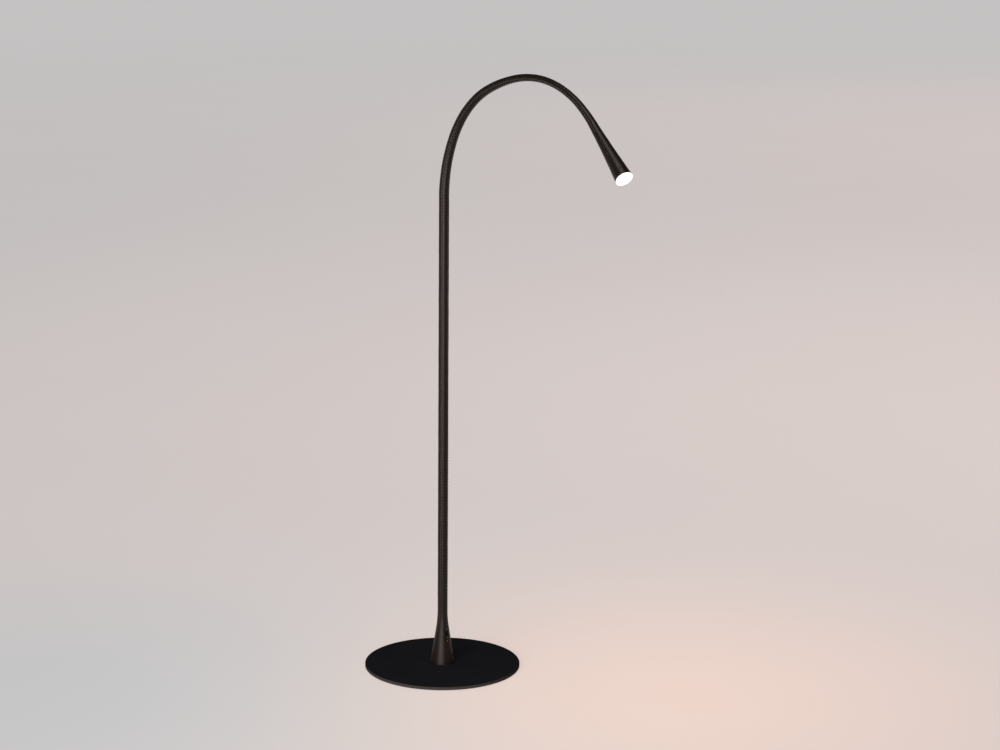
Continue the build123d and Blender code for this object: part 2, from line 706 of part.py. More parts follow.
# ---- what was measured, for whoever changes a size ----
lead_length = lead_path.wires()[0].length
print(f"lead: {lead_length:.1f} mm long, {lead.part.volume:.0f} mm3")
for number, pivot in enumerate(pivots):
    place = tuple(round(value, 2) for value in pivot.origin)
    bend_axis = tuple(round(value, 5) for value in pivot.y_dir)
    side_axis = tuple(round(value, 5) for value in pivot.x_dir)
    print("pivot", number + 1, place, "bend", bend_axis, "side", side_axis)
mouth = head.offset(HEAD_LENGTH).origin
print("mouth", tuple(round(value, 2) for value in mouth))
print("switch slides along", tuple(round(value, 5) for value in switch_pocket.y_dir))
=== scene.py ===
# %% [markdown]
# # A leather-covered reading lamp, dressed around its frame
# The lamp is a heavy round plate, a slim stem on a flared foot, a neck that bends like a hose and
# a small conical spot head. One sleeve of dark brown leather covers everything above the plate.
# The frame already holds the plate, the metal under the leather, the switch, the socket and the
# parts of the light. This script gives those pieces their finish and builds what a simple solid
# can't show: the sewn leather, its thread, the wound hose, the lead and the frosted disc.

# %% Load the frame
import json
import math

import bpy
import numpy as np
from mathutils import Matrix, Vector


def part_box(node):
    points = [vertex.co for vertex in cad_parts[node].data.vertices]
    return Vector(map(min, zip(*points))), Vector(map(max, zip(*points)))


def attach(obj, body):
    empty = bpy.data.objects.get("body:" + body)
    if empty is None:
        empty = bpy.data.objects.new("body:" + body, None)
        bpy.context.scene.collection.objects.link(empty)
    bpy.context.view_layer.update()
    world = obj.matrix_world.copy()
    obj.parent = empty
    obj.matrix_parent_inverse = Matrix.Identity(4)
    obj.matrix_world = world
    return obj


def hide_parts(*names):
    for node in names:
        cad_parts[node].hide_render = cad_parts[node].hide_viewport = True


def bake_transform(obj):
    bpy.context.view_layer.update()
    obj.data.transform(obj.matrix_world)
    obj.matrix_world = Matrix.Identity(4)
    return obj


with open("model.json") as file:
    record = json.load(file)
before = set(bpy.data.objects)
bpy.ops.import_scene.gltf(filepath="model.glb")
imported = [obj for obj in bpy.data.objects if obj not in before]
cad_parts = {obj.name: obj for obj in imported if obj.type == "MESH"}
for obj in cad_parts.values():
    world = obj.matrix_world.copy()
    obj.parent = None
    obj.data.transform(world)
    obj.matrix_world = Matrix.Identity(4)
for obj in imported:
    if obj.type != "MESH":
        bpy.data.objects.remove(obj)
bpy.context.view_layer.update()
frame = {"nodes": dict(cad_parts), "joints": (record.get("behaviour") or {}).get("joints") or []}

nodes = frame["nodes"]

# %% [markdown]
# ## Camera
# A long lens from across the room keeps the stem upright and shows the plate as a flat ellipse.
# The place and the tilt were solved from that ellipse and from the stem, so they are written as
# plain numbers: where the lens stands, how far it looks down and how far it leans.

# %% Stand the camera
CAMERA_AT = Vector((2.71409, -3.29967, 1.45624))
CAMERA_AZIMUTH = math.radians(38.0)
CAMERA_PITCH = math.radians(11.629)
CAMERA_ROLL = math.radians(0.497)
SENSOR_WIDTH = 36.0
LENS_LENGTH = 82.8


def put_in_scene(name, data):
    """A new object in the scene that holds a mesh, a light or a camera."""
    made = bpy.data.objects.new(name, data)
    bpy.context.scene.collection.objects.link(made)
    return made


camera = put_in_scene("camera", bpy.data.cameras.new("camera"))
camera.data.sensor_fit = "HORIZONTAL"
camera.data.sensor_width = SENSOR_WIDTH
camera.data.lens = LENS_LENGTH
looking = Matrix.Rotation(CAMERA_AZIMUTH, 4, "Z")
looking = looking @ Matrix.Rotation(math.radians(90) - CAMERA_PITCH, 4, "X")
looking = looking @ Matrix.Rotation(CAMERA_ROLL, 4, "Z")
camera.matrix_world = Matrix.Translation(CAMERA_AT) @ looking
bpy.context.scene.camera = camera
print("camera at", tuple(round(value, 3) for value in CAMERA_AT))

# %% [markdown]
# ## The arm's centre line
# Everything on this lamp follows one line: straight up the stem, along the curved neck and out
# through the head. The frame gives the ten pivots of the neck. Between two pivots the line is an
# arc that leaves the first one along the line's own direction, so each arc follows from the one
# before it. Rings of vertices are then placed by their distance along that line, and the two
# directions across it are carried along without twisting.

# %% Read the pivots
neck_joints = [joint for joint in frame["joints"] if joint["name"].startswith("neck_")]
neck_joints.sort(key=lambda joint: int(joint["name"].split("_")[1]))
pivots = [Vector(joint["pos_m"]) for joint in neck_joints]
print("pivots:", len(pivots), "from", round(pivots[0].z, 3), "m up")


# %% Straight and curved stretches
def straight(start, origin, along, across, length):
    """A straight stretch of the line, as a record that place() reads."""
    return {"start": start, "length": length, "origin": origin, "along": along,
            "across": across, "axis": None, "radius": None}


def arc_between(start, origin, end, along, across):
    """The arc that leaves origin along a direction and reaches end."""
    chord = end - origin
    bend = 2 * along.angle(chord)
    radius = chord.length / (2 * math.sin(bend / 2))
    return {"start": start, "length": radius * bend, "origin": origin, "along": along,
            "across": across, "axis": along.cross(chord).normalized(), "radius": radius}


def place(stretch, distance):
    """Point, two directions across and the direction along, at a distance down the line."""
    gone = distance - stretch["start"]
    if stretch["axis"] is None:
        spin = Matrix.Identity(3)
        point = stretch["origin"] + stretch["along"] * gone
    else:
        turned = gone / stretch["radius"]
        spin = Matrix.Rotation(turned, 3, stretch["axis"])
        inward = stretch["axis"].cross(stretch["along"])
        point = stretch["origin"] + stretch["along"] * stretch["radius"] * math.sin(turned)
        point = point + inward * stretch["radius"] * (1 - math.cos(turned))
    along = spin @ stretch["along"]
    across = spin @ stretch["across"]
    return point, across, along.cross(across), along


print("a stretch is straight or an arc, and place() finds a point on it")

# %% Join the stretches into one line
HEAD_LENGTH = 0.131
line = [straight(0, Vector((0, 0, 0)), Vector((0, 0, 1)), Vector((1, 0, 0)), pivots[0].z)]
for near, far in zip(pivots, pivots[1:]):
    reached = line[-1]["start"] + line[-1]["length"]
    _, across, _, along = place(line[-1], reached)
    line.append(arc_between(reached, near, far, along, across))
reached = line[-1]["start"] + line[-1]["length"]
_, across, _, along = place(line[-1], reached)
line.append(straight(reached, pivots[-1], along, across, HEAD_LENGTH))

pivot_distances = [stretch["start"] for stretch in line[1:]]
MOUTH = line[-1]["start"] + HEAD_LENGTH
LINK = pivot_distances[1] - pivot_distances[0]


def on_line(distance):
    """place() on whichever stretch holds the distance."""
    stretch = line[0]
    for candidate in line[1:]:
        if distance >= candidate["start"]:
            stretch = candidate
    return place(stretch, distance)


print("line:", round(MOUTH, 4), "m long, one link", round(LINK, 4), "m")

# %% [markdown]
# ## How thick the sleeve is along the line
# The foot is a straight cone that blends into the stem through one large round. The neck thins
# out towards its top and swells again into the head, which flares like a slim trumpet. The
# stretches repeat the sizes of the frame, with a smooth curve through the sizes at the pivots.

# %% Outside radius of the leather
PLATE_TOP = 0.007
FOOT_RADIUS = 0.0234
STEM_RADIUS = 0.0096
FLARE_HEIGHT = 0.088
FLARE_ROUND = 0.230
PIVOT_RADII = (STEM_RADIUS, 0.0092, 0.0088, 0.00835, 0.0078, 0.0068, 0.0065, 0.0064, 0.0067, 0.0079)
HEAD_RADIUS = 0.016
HEAD_HOLLOW = 0.0008

FLARE_SLOPE = (FOOT_RADIUS - STEM_RADIUS) / FLARE_HEIGHT
FLARE_ANGLE = math.atan(FLARE_SLOPE)
BLEND_RUN = FLARE_ROUND * math.tan(FLARE_ANGLE / 2)
BLEND_LOW = PLATE_TOP + FLARE_HEIGHT - BLEND_RUN * math.cos(FLARE_ANGLE)
BLEND_HIGH = PLATE_TOP + FLARE_HEIGHT + BLEND_RUN


def foot_radius(height):
    """Outside radius of the leather on the foot and the stem."""
    if height <= BLEND_LOW:
        return FOOT_RADIUS - FLARE_SLOPE * (height - PLATE_TOP)
    if height < BLEND_HIGH:
        drop = math.sqrt(FLARE_ROUND**2 - (BLEND_HIGH - height) ** 2)
        return STEM_RADIUS + FLARE_ROUND - drop
    return STEM_RADIUS


def head_radius(along):
    """Outside radius of the head at a distance from the last pivot."""
    share = along / HEAD_LENGTH
    swell = (HEAD_RADIUS - PIVOT_RADII[-1]) * share
    return PIVOT_RADII[-1] + swell - HEAD_HOLLOW * 4 * share * (1 - share)


def neck_radius(distance):
    """A smooth curve through the radii at the pivots."""
    knots = (STEM_RADIUS,) + PIVOT_RADII + (head_radius(LINK),)
    count = min(int((distance - pivot_distances[0]) / LINK), len(PIVOT_RADII) - 2)
    share = (distance - pivot_distances[count]) / LINK
    before, near, far, after = knots[count:count + 4]
    pull = (far - before) * share + (2 * before - 5 * near + 4 * far - after) * share**2
    pull = pull + (3 * near - before - 3 * far + after) * share**3
    return near + pull / 2


def sleeve_radius(distance):
    """Outside radius of the leather anywhere on the line."""
    if distance <= pivot_distances[0]:
        return foot_radius(distance)
    if distance < pivot_distances[-1]:
        return neck_radius(distance)
    return head_radius(distance - pivot_distances[-1])


MIDDLE_OF_STEM = 0.5
print("radius at foot, stem, top of the neck and mouth, mm:",
      [round(1000 * sleeve_radius(at), 2)
       for at in (PLATE_TOP, MIDDLE_OF_STEM, pivot_distances[6], MOUTH)])

# %% Waves of a hide pulled tight by hand
WAVE_HEIGHT = 0.00010
SLOW_WAVE = 0.071
SLOWER_WAVE = 0.193
QUICK_WAVE = 0.023
QUICK_SHARE = 0.4
QUICK_START = 1.3


def hand_made(distance, angles):
    """The small ups and downs of the hide at a distance, for each angle round it."""
    turn = 2 * math.pi * distance
    slow = np.sin(turn / SLOW_WAVE + angles) * np.sin(turn / SLOWER_WAVE)
    quick = np.sin(turn / QUICK_WAVE - 2 * angles + QUICK_START)
    return WAVE_HEIGHT * (slow + QUICK_SHARE * quick)


print("waves up to", round(1000 * WAVE_HEIGHT * (1 + QUICK_SHARE), 2), "mm")

# %% [markdown]
# ## Two rows of hand stitching
# The sleeve is sewn shut along two rows, which wander round the stem as they climb. Each row is
# described by its place round the stem at a few heights, and a smooth step joins them. Along a
# row the leather is drawn down into a shallow channel, and the stitches lie in that channel. On
# the head the seam turns into a fine closed line without thread.

# %% Where the stitches run
ROW_LEFT = ((0.030, -132), (0.052, -122), (0.074, -100), (0.108, -82), (0.334, -70), (0.722, -77),
            (1.250, -78), (pivot_distances[-1] + 0.020, -118), (pivot_distances[-1] + 0.049, -126),
            (MOUTH, -115))
ROW_RIGHT = ((0.040, 25), (0.332, 39), (0.722, -1), (1.250, 8), (pivot_distances[-1], 30),
             (MOUTH, 40))
STITCH_PITCH = 0.0061
CHANNEL_DEPTH = 0.00040
CHANNEL_WIDTH = 0.0012
SEAM_DEPTH = 0.00035
SEAM_WIDTH = 0.00055
HEAD_SEAM_FROM = pivot_distances[-1] + 0.018


def row_angle(row, distance):
    """The row's place round the sleeve, in radians, at a distance down the line."""
    distances = [at for at, _ in row]
    angles = [math.radians(angle) for _, angle in row]
    upper = int(np.searchsorted(distances, distance))
    if upper == 0 or upper == len(row):
        return angles[min(upper, len(row) - 1)]
    share = (distance - distances[upper - 1]) / (distances[upper] - distances[upper - 1])
    share = share * share * (3 - 2 * share)
    return angles[upper - 1] + (angles[upper] - angles[upper - 1]) * share


def beside(angles, centre):
    """Each angle's difference from a centre, between minus and plus half a turn."""
    return (angles - centre + math.pi) % (2 * math.pi) - math.pi


def drawn_in(distance, angles):
    """How far the sewing pulls the leather below its outside radius."""
    radius = sleeve_radius(distance)
    on_head = distance > HEAD_SEAM_FROM
    depth, width = (SEAM_DEPTH, SEAM_WIDTH) if on_head else (CHANNEL_DEPTH, CHANNEL_WIDTH)
    total = np.zeros(len(angles))
    for row in (ROW_LEFT, ROW_RIGHT):
        off = beside(angles, row_angle(row, distance)) * radius
        total = total + depth * np.exp(-((off / width) ** 2))
    return total


print("stitches in a row:", int((HEAD_SEAM_FROM - PLATE_TOP) / STITCH_PITCH))

# %% [markdown]
# ## From rings to a mesh
# A sleeve, a hose and a lead are all rings of vertices, one after another. When the rings go up
# the outside and come back down the inside, the last ring joins the first and the piece is a
# closed skin with a real thickness. A map stores how far round and how far along each corner
# lies, in metres along the line, so a pattern can follow the piece when it bends.


# %% A mesh becomes a piece
def make_piece(name, mesh, material=None, smooth_angle=40):
    """A mesh as a piece in the scene, smooth except at edges sharper than the angle."""
    if material is not None:
        mesh.materials.append(material)
    for polygon in mesh.polygons:
        polygon.use_smooth = True
    points = np.zeros(len(mesh.vertices) * 3, dtype=np.float32)
    mesh.vertices.foreach_get("co", points)
    at_rest = mesh.attributes.new("at_rest", "FLOAT_VECTOR", "POINT")
    at_rest.data.foreach_set("vector", points)
    mesh.set_sharp_from_angle(angle=math.radians(smooth_angle))
    piece = put_in_scene(name, mesh)
    return piece


print("each piece keeps its points' places at rest, for textures that bend with it")


# %% Rings become a mesh
def ringed_mesh(name, rings, along, closed):
    """A mesh of rings of equal size: closed joins the last ring to the first, else it is capped."""
    count, size = len(rings), len(rings[0])
    first = np.arange(count if closed else count - 1)[:, None]
    second = (first + 1) % count
    here = np.arange(size)[None, :]
    beyond = (here + 1) % size
    quads = np.stack([first * size + here, first * size + beyond,
                      second * size + beyond, second * size + here], axis=-1).reshape(-1, 4)
    faces = quads.tolist()
    if not closed:
        faces.append(list(range(size))[::-1])
        faces.append(list(range((count - 1) * size, count * size)))
    mesh = bpy.data.meshes.new(name)
    mesh.from_pydata(np.concatenate(rings).tolist(), [], faces)
    shares = np.arange(size + 1) / size
    low, high = along[first], along[second]
    corners = np.zeros((first.shape[0], size, 4, 2))
    corners[..., 0, :] = np.stack(np.broadcast_arrays(shares[:-1], low), axis=-1)
    corners[..., 1, :] = np.stack(np.broadcast_arrays(shares[1:], low), axis=-1)
    corners[..., 2, :] = np.stack(np.broadcast_arrays(shares[1:], high), axis=-1)
    corners[..., 3, :] = np.stack(np.broadcast_arrays(shares[:-1], high), axis=-1)
    flat = corners.reshape(-1, 2)
    caps = np.zeros((len(mesh.loops) - len(flat), 2))
    uv = mesh.uv_layers.new(name="around_and_along")
    uv.uv.foreach_set("vector", np.concatenate([flat, caps]).astype(np.float32).ravel())
    mesh.update()
    return mesh


print("rings of equal size are joined by quads, and a map goes round and along them")


# %% Rings on the line and on a lathe
def full_turn(count):
    """Angles spaced evenly round a circle."""
    return np.linspace(0, 2 * math.pi, count, endpoint=False)


def ring_on_line(distance, radii, angles):
    """One ring of points round the line, with a radius for each angle."""
    point, across, sideways, _ = on_line(distance)
    out = np.outer(np.cos(angles), across) + np.outer(np.sin(angles), sideways)
    return np.array(point) + out * np.reshape(radii, (-1, 1))


def turned_mesh(name, profile, origin, across, sideways, along, segments):
    """A lathe-turned solid: a closed profile of (radius, height) pairs turned about an axis."""
    angles = full_turn(segments)
    out = np.outer(np.cos(angles), across) + np.outer(np.sin(angles), sideways)
    rings = [np.array(origin) + out * radius + np.array(along) * height
             for radius, height in profile]
    return ringed_mesh(name, rings, np.array([height for _, height in profile]), closed=True)


print("a ring follows the line, or turns about an axis")

# %% [markdown]
# ## Shader trees in a few words
# A material here is a node tree. Small helpers add a node, set its options and fill each named
# input with a value or with a link, so that a material reads from top to bottom like a recipe.
# Effects that several finishes share become node groups with their own inputs and outputs.


# %% Add and feed a node
def feed(tree, socket, value):
    """Link a result to a socket, or set the socket itself to a plain value."""
    if isinstance(value, bpy.types.NodeSocket):
        tree.links.new(value, socket)
    else:
        socket.default_value = value


def add(tree, kind, inputs=(), **options):
    """Add a node, set its options and set or link its inputs."""
    node = tree.nodes.new(kind)
    for name, value in options.items():
        setattr(node, name, value)
    for name, value in dict(inputs).items():
        feed(tree, node.inputs[name], value)
    return node


def calc(tree, operation, *values):
    """A math node's result."""
    return add(tree, "ShaderNodeMath", dict(enumerate(values)), operation=operation).outputs[0]


def mix_colour(tree, share, first, second, blend="MIX"):
    """Two colours mixed by a share from 0 to 1."""
    node = add(tree, "ShaderNodeMix", data_type="RGBA", blend_type=blend)
    for index, value in ((0, share), (6, first), (7, second)):
        feed(tree, node.inputs[index], value)
    return node.outputs[2]


def spread(tree, value, low, high, to_low=0.0, to_high=1.0):
    """Stretch a range of values onto another one, clamped."""
    ranges = {"Value": value, "From Min": low, "From Max": high, "To Min": to_low, "To Max": to_high}
    return add(tree, "ShaderNodeMapRange", ranges).outputs[0]


def rgb(red, green, blue):
    """An opaque colour."""
    return (red, green, blue, 1.0)


print("helpers: feed, add, calc, mix_colour, spread, rgb")


# %% Textures and vectors
def noise(tree, vector, size, detail, roughness=0.5):
    """A cloudy texture whose features are about as large as size, in metres."""
    per_metre = calc(tree, "DIVIDE", 1.0, size)
    return add(tree, "ShaderNodeTexNoise", {"Vector": vector, "Scale": per_metre, "Detail": detail,
                                            "Roughness": roughness})


def swung(tree, level, texture, swing):
    """A level that a texture, which averages one half, swings up and down."""
    centred = calc(tree, "SUBTRACT", texture, 0.5)
    return calc(tree, "ADD", level, calc(tree, "MULTIPLY", centred, swing))


def vector_math(tree, operation, first, second):
    """Two vectors put together by a vector math node."""
    node = add(tree, "ShaderNodeVectorMath", {0: first, 1: second}, operation=operation)
    return node.outputs["Value" if operation == "DISTANCE" else "Vector"]


def scaled(tree, vector, factor):
    """A vector or a colour, times a factor."""
    return add(tree, "ShaderNodeVectorMath", {0: vector, "Scale": factor}, operation="SCALE").outputs[0]


def place_on_object(tree):
    """Coordinates of a rigid piece, in metres."""
    return add(tree, "ShaderNodeTexCoord").outputs["Object"]


def place_at_rest(tree):
    """Coordinates of a bending piece before it bends, stored on its points, in metres."""
    return add(tree, "ShaderNodeAttribute", attribute_name="at_rest").outputs["Vector"]


print("helpers: noise, swung, vector_math, scaled, place_on_object, place_at_rest")

# %% Groups and materials
KINDS = {"value": "NodeSocketFloat", "colour": "NodeSocketColor", "vector": "NodeSocketVector"}


def new_group(name, inputs, outputs):
    """A node group with named inputs, each with a default, and named outputs."""
    tree = bpy.data.node_groups.new(name, "ShaderNodeTree")
    for label, kind, default in inputs:
        socket = tree.interface.new_socket(label, in_out="INPUT", socket_type=KINDS[kind])
        if default is not None:
            socket.default_value = default
    for label, kind in outputs:
        tree.interface.new_socket(label, in_out="OUTPUT", socket_type=KINDS[kind])
    return tree, tree.nodes.new("NodeGroupInput").outputs, tree.nodes.new("NodeGroupOutput").inputs


def use_group(tree, group, **inputs):
    """Place a node group and set its inputs: underscores stand for the spaces in their names."""
    node = add(tree, "ShaderNodeGroup", node_tree=group)
    for name, value in inputs.items():
        feed(tree, node.inputs[name.replace("_", " ").capitalize()], value)
    return node.outputs


def new_material(name):
    """An empty material with its surface shader: returns material, tree and shader."""
    material = bpy.data.materials.new(name)
    material.use_nodes = True
    tree = material.node_tree
    return material, tree, tree.nodes["Principled BSDF"]


def wire(tree, shader, **sockets):
    """Feed the shader's inputs: underscores stand for the spaces in their names."""
    for name, value in sockets.items():
        feed(tree, shader.inputs[name.replace("_", " ").title().replace("Ior", "IOR")], value)


def bump(tree, shader, height, distance):
    """Feed a height, whose full swing is a distance in metres, into the shader's normal."""
    relief = add(tree, "ShaderNodeBump", {"Height": height, "Distance": distance, "Strength": 1.0})
    tree.links.new(relief.outputs[0], shader.inputs["Normal"])


print("helpers: new_group, use_group, new_material, wire, bump")

# %% [markdown]
# ## Shared effects
# Three things turn up on several finishes. Fine tooth is the even, tiny relief of powder coat,
# moulded plastic and rubber. Tool marks are the long thin lines that turning and brushing leave,
# and they also stand in for the fibres of the thread. Slow shade is the uneven tone that every
# real surface has over a few centimetres.

# %% Group: fine tooth
fine_tooth, given, result = new_group(
    "fine_tooth",
    [("Vector", "vector", None), ("Size", "value", 0.0006), ("Roughness", "value", 0.5),
     ("Swing", "value", 0.1)],
    [("Height", "value"), ("Roughness", "value")],
)
tooth = noise(fine_tooth, given["Vector"], given["Size"], detail=4.0, roughness=0.6).outputs[0]
feed(fine_tooth, result["Height"], tooth)
feed(fine_tooth, result["Roughness"], swung(fine_tooth, given["Roughness"], tooth, given["Swing"]))
print("group:", fine_tooth.name)

# %% Group: tool marks
MARKS_FROM = 0.3
MARKS_TO = 0.7
DARKEST_MARK = 0.88

tool_marks, given, result = new_group(
    "tool_marks",
    [("Vector", "vector", None), ("Stretch", "vector", (1.0, 1.0, 1.0)), ("Size", "value", 0.0004),
     ("Roughness", "value", 0.35), ("Swing", "value", 0.15)],
    [("Height", "value"), ("Roughness", "value"), ("Shade", "value")],
)
pulled = vector_math(tool_marks, "MULTIPLY", given["Vector"], given["Stretch"])
marks = noise(tool_marks, pulled, given["Size"], detail=3.0, roughness=0.55).outputs[0]
feed(tool_marks, result["Height"], marks)
feed(tool_marks, result["Roughness"], swung(tool_marks, given["Roughness"], marks, given["Swing"]))
feed(tool_marks, result["Shade"],
     spread(tool_marks, marks, MARKS_FROM, MARKS_TO, DARKEST_MARK, 1.0))
print("group:", tool_marks.name)

# %% Group: slow shade
slow_shade, given, result = new_group(
    "slow_shade",
    [("Vector", "vector", None), ("Colour", "colour", rgb(0.5, 0.5, 0.5)), ("Size", "value", 0.05),
     ("Swing", "value", 0.2)],
    [("Colour", "colour")],
)
cloud = noise(slow_shade, given["Vector"], given["Size"], detail=2.0).outputs[0]
factor = swung(slow_shade, 1.0, cloud, given["Swing"])
feed(slow_shade, result["Colour"], scaled(slow_shade, given["Colour"], factor))
print("group:", slow_shade.name)

# %% [markdown]
# ## Leather
# The hide is dyed almost black-brown and has a fine pebbled grain: small rounded islands with
# darker creases between them. Two sizes of cell pattern make the islands, and a soft noise pushes
# the cells about, so that no two islands are alike. The islands are a little lighter and smoother
# than the creases, because hands polish them. The same group serves the sleeve and the burnished
# edges, with other values. The finished hide reflects little, so its gloss is set low as well.

# %% Group: pebbled leather
DRIFT_SCALE = 0.6
DRIFT_REACH = 0.9
PEBBLE_SCALE = 2.3
ISLAND_EDGE = 0.22
PEBBLE_EDGE = 0.25
ISLAND_SHARE = 0.7
POLISH = 0.1

leather_group, given, result = new_group(
    "pebbled_leather",
    [("Vector", "vector", None), ("Island colour", "colour", rgb(0.05, 0.04, 0.035)),
     ("Crease colour", "colour", rgb(0.02, 0.015, 0.012)), ("Grain size", "value", 0.0012),
     ("Roughness", "value", 0.5)],
    [("Colour", "colour"), ("Roughness", "value"), ("Height", "value")],
)
per_metre = calc(leather_group, "DIVIDE", 1.0, given["Grain size"])
drift_size = calc(leather_group, "DIVIDE", given["Grain size"], DRIFT_SCALE)
drift = noise(leather_group, given["Vector"], drift_size, detail=2.0).outputs["Color"]
drift = vector_math(leather_group, "SUBTRACT", drift, (0.5, 0.5, 0.5))
reach = calc(leather_group, "MULTIPLY", given["Grain size"], DRIFT_REACH)
pushed = vector_math(leather_group, "ADD", given["Vector"], scaled(leather_group, drift, reach))
height = 0.0
for cell_scale, edge, share in ((1.0, ISLAND_EDGE, ISLAND_SHARE),
                                (PEBBLE_SCALE, PEBBLE_EDGE, 1 - ISLAND_SHARE)):
    scale = calc(leather_group, "MULTIPLY", per_metre, cell_scale)
    cells = add(leather_group, "ShaderNodeTexVoronoi", {"Vector": pushed, "Scale": scale},
                feature="DISTANCE_TO_EDGE").outputs[0]
    level = spread(leather_group, cells, 0.0, edge, 0.0, share)
    height = calc(leather_group, "ADD", level, height)
colour = mix_colour(leather_group, height, given["Crease colour"], given["Island colour"])
polished = calc(leather_group, "MULTIPLY", height, POLISH)
feed(leather_group, result["Colour"], colour)
feed(leather_group, result["Roughness"],
     calc(leather_group, "SUBTRACT", given["Roughness"], polished))
feed(leather_group, result["Height"], height)
print("group:", leather_group.name)


# %% Material: sleeve leather
LEATHER_GLOSS = 0.19
LEATHER_TINT = rgb(1.0, 0.84, 0.78)


def make_sleeve_leather(name, island, crease, grain, roughness, relief):
    """Pebbled leather in a given tone: relief is the depth of its creases in metres."""
    material, tree, shader = new_material(name)
    spot = place_at_rest(tree)
    hide = use_group(tree, leather_group, vector=spot, island_colour=island, crease_colour=crease,
                     grain_size=grain, roughness=roughness)
    toned = use_group(tree, slow_shade, vector=spot, colour=hide["Colour"], size=0.035, swing=0.5)
    wire(tree, shader, base_color=toned["Colour"], roughness=hide["Roughness"],
         specular_ior_level=LEATHER_GLOSS, specular_tint=LEATHER_TINT)
    bump(tree, shader, hide["Height"], relief)
    return material


sleeve_leather = make_sleeve_leather(
    "sleeve_leather", island=rgb(0.0115, 0.0075, 0.0063), crease=rgb(0.0050, 0.0031, 0.0026),
    grain=0.0013, roughness=0.39, relief=0.00007)
burnished_edge = make_sleeve_leather(
    "burnished_edge", island=rgb(0.030, 0.021, 0.017), crease=rgb(0.018, 0.012, 0.010),
    grain=0.0007, roughness=0.45, relief=0.00002)
print("materials:", sleeve_leather.name, burnished_edge.name)

# %% [markdown]
# ## The sewn sleeve
# On the real lamp the leather is one tube from the plate to the mouth. Here it is cut in the
# middle of each link, because a piece can bend across only one pivot. The cuts can't be seen,
# because the rings on both sides of a cut follow the same outline. The lowest and the last piece
# end in a rounded, burnished edge, half a circle between the outside and the inside of the hide.

# %% Shape of one stretch of leather
LEATHER = 0.0012
HEM = PLATE_TOP + 0.002
SLEEVE_SEGMENTS = 128
HEAD_SEGMENTS = 176
RING_STEP = 0.0016
LINING_STEP = 0.008
EDGE_STEPS = 7
SKIVE_LENGTH = 0.008
SKIVE_SHARE = 0.45
LENS_FLANGE = 0.0007


def skived(distance):
    """Share of the hide's thickness that is left: it is pared down towards the mouth."""
    gone = min(max((distance - MOUTH + SKIVE_LENGTH) / SKIVE_LENGTH, 0), 1)
    return 1 - (1 - SKIVE_SHARE) * gone


def leather_profile(low, high, round_low, round_high):
    """(distance, depth below the outside) for each ring: up the outside, down the inside."""
    rim = LEATHER / 2
    bottom = low + rim if round_low else low
    end = rim * SKIVE_SHARE
    top = high - end if round_high else high
    outside = np.linspace(bottom, top, max(2, int((top - bottom) / RING_STEP) + 1))
    inside = np.linspace(top, bottom, max(2, int((top - bottom) / LINING_STEP) + 1))
    turn = np.linspace(0, math.pi, EDGE_STEPS + 2)[1:-1]
    profile = [(distance, 0.0) for distance in outside]
    if round_high:
        profile += [(top + end * math.sin(a), rim * (1 - math.cos(a))) for a in turn]
    profile += [(distance, LEATHER) for distance in inside]
    if round_low:
        profile += [(bottom - rim * math.sin(a), rim * (1 + math.cos(a))) for a in turn]
    return profile


print("hide:", 1000 * LEATHER, "mm thick, pared to", round(1000 * LEATHER * SKIVE_SHARE, 2), "mm")


# %% Two finishes on a hide
def finish_hide(mesh, edge_faces):
    """Leather all over, with a burnished edge on the given faces."""
    mesh.materials.append(sleeve_leather)
    mesh.materials.append(burnished_edge)
    for face in edge_faces:
        mesh.polygons[face].material_index = 1


print("finishes of a hide:", sleeve_leather.name, burnished_edge.name)

# %% [markdown]
# ## Openings in the sleeve
# The switch's plate and the power socket sit in the cone, so the hide is cut away round them, a
# hair wider than they are. A leather worker drives a steel punch through the hide. The punch
# here is a short prism with round ends that stands square to the cone, and a boolean modifier
# takes it out of the sleeve. Its walls carry the burnished edge's finish into the cut.

# %% Punch the openings
SWITCH_PLACE = (math.radians(-16.5), 0.058)
SWITCH_OPENING = (0.0276, 0.0076)
SOCKET_PLACE = (math.radians(150.0), 0.028)
SOCKET_OPENING = (0.0130, 0.0130)
PUNCH_REACH = 0.005
PUNCH_POINTS = 48


def punch(place_on_cone, opening):
    """A prism with round ends: place_on_cone is a turn and a height, opening a length and a width."""
    turn, height = place_on_cone
    length, width = opening
    level = PLATE_TOP + height
    radial = Vector((math.cos(turn), math.sin(turn), 0.0))
    outward = radial * math.cos(FLARE_ANGLE) + Vector((0, 0, math.sin(FLARE_ANGLE)))
    sideways = Vector((-math.sin(turn), math.cos(turn), 0.0))
    upward = outward.cross(sideways)
    centre = radial * foot_radius(level) + Vector((0, 0, level))
    outline = []
    for angle in full_turn(PUNCH_POINTS):
        end = math.copysign((length - width) / 2, math.sin(angle))
        rise = math.sin(angle) * width / 2 + end
        outline.append(centre + sideways * math.cos(angle) * width / 2 + upward * rise)
    rings = [np.array([point + outward * depth for point in outline])
             for depth in (-PUNCH_REACH, PUNCH_REACH)]
    mesh = ringed_mesh("punch", rings, np.array([0.0, PUNCH_REACH]), closed=False)
    finish_hide(mesh, range(len(mesh.polygons)))
    return mesh


def punched(mesh, punches):
    """The mesh with each punch's shape cut out of it."""
    hide = put_in_scene("hide", mesh)
    tools = [put_in_scene("punch", shape) for shape in punches]
    for tool in tools:
        cut = hide.modifiers.new("cut", "BOOLEAN")
        cut.object = tool
        cut.solver = "EXACT"
    graph = bpy.context.evaluated_depsgraph_get()
    result = bpy.data.meshes.new_from_object(hide.evaluated_get(graph))
    for used in [hide] + tools:
        bpy.data.objects.remove(used)
    return result


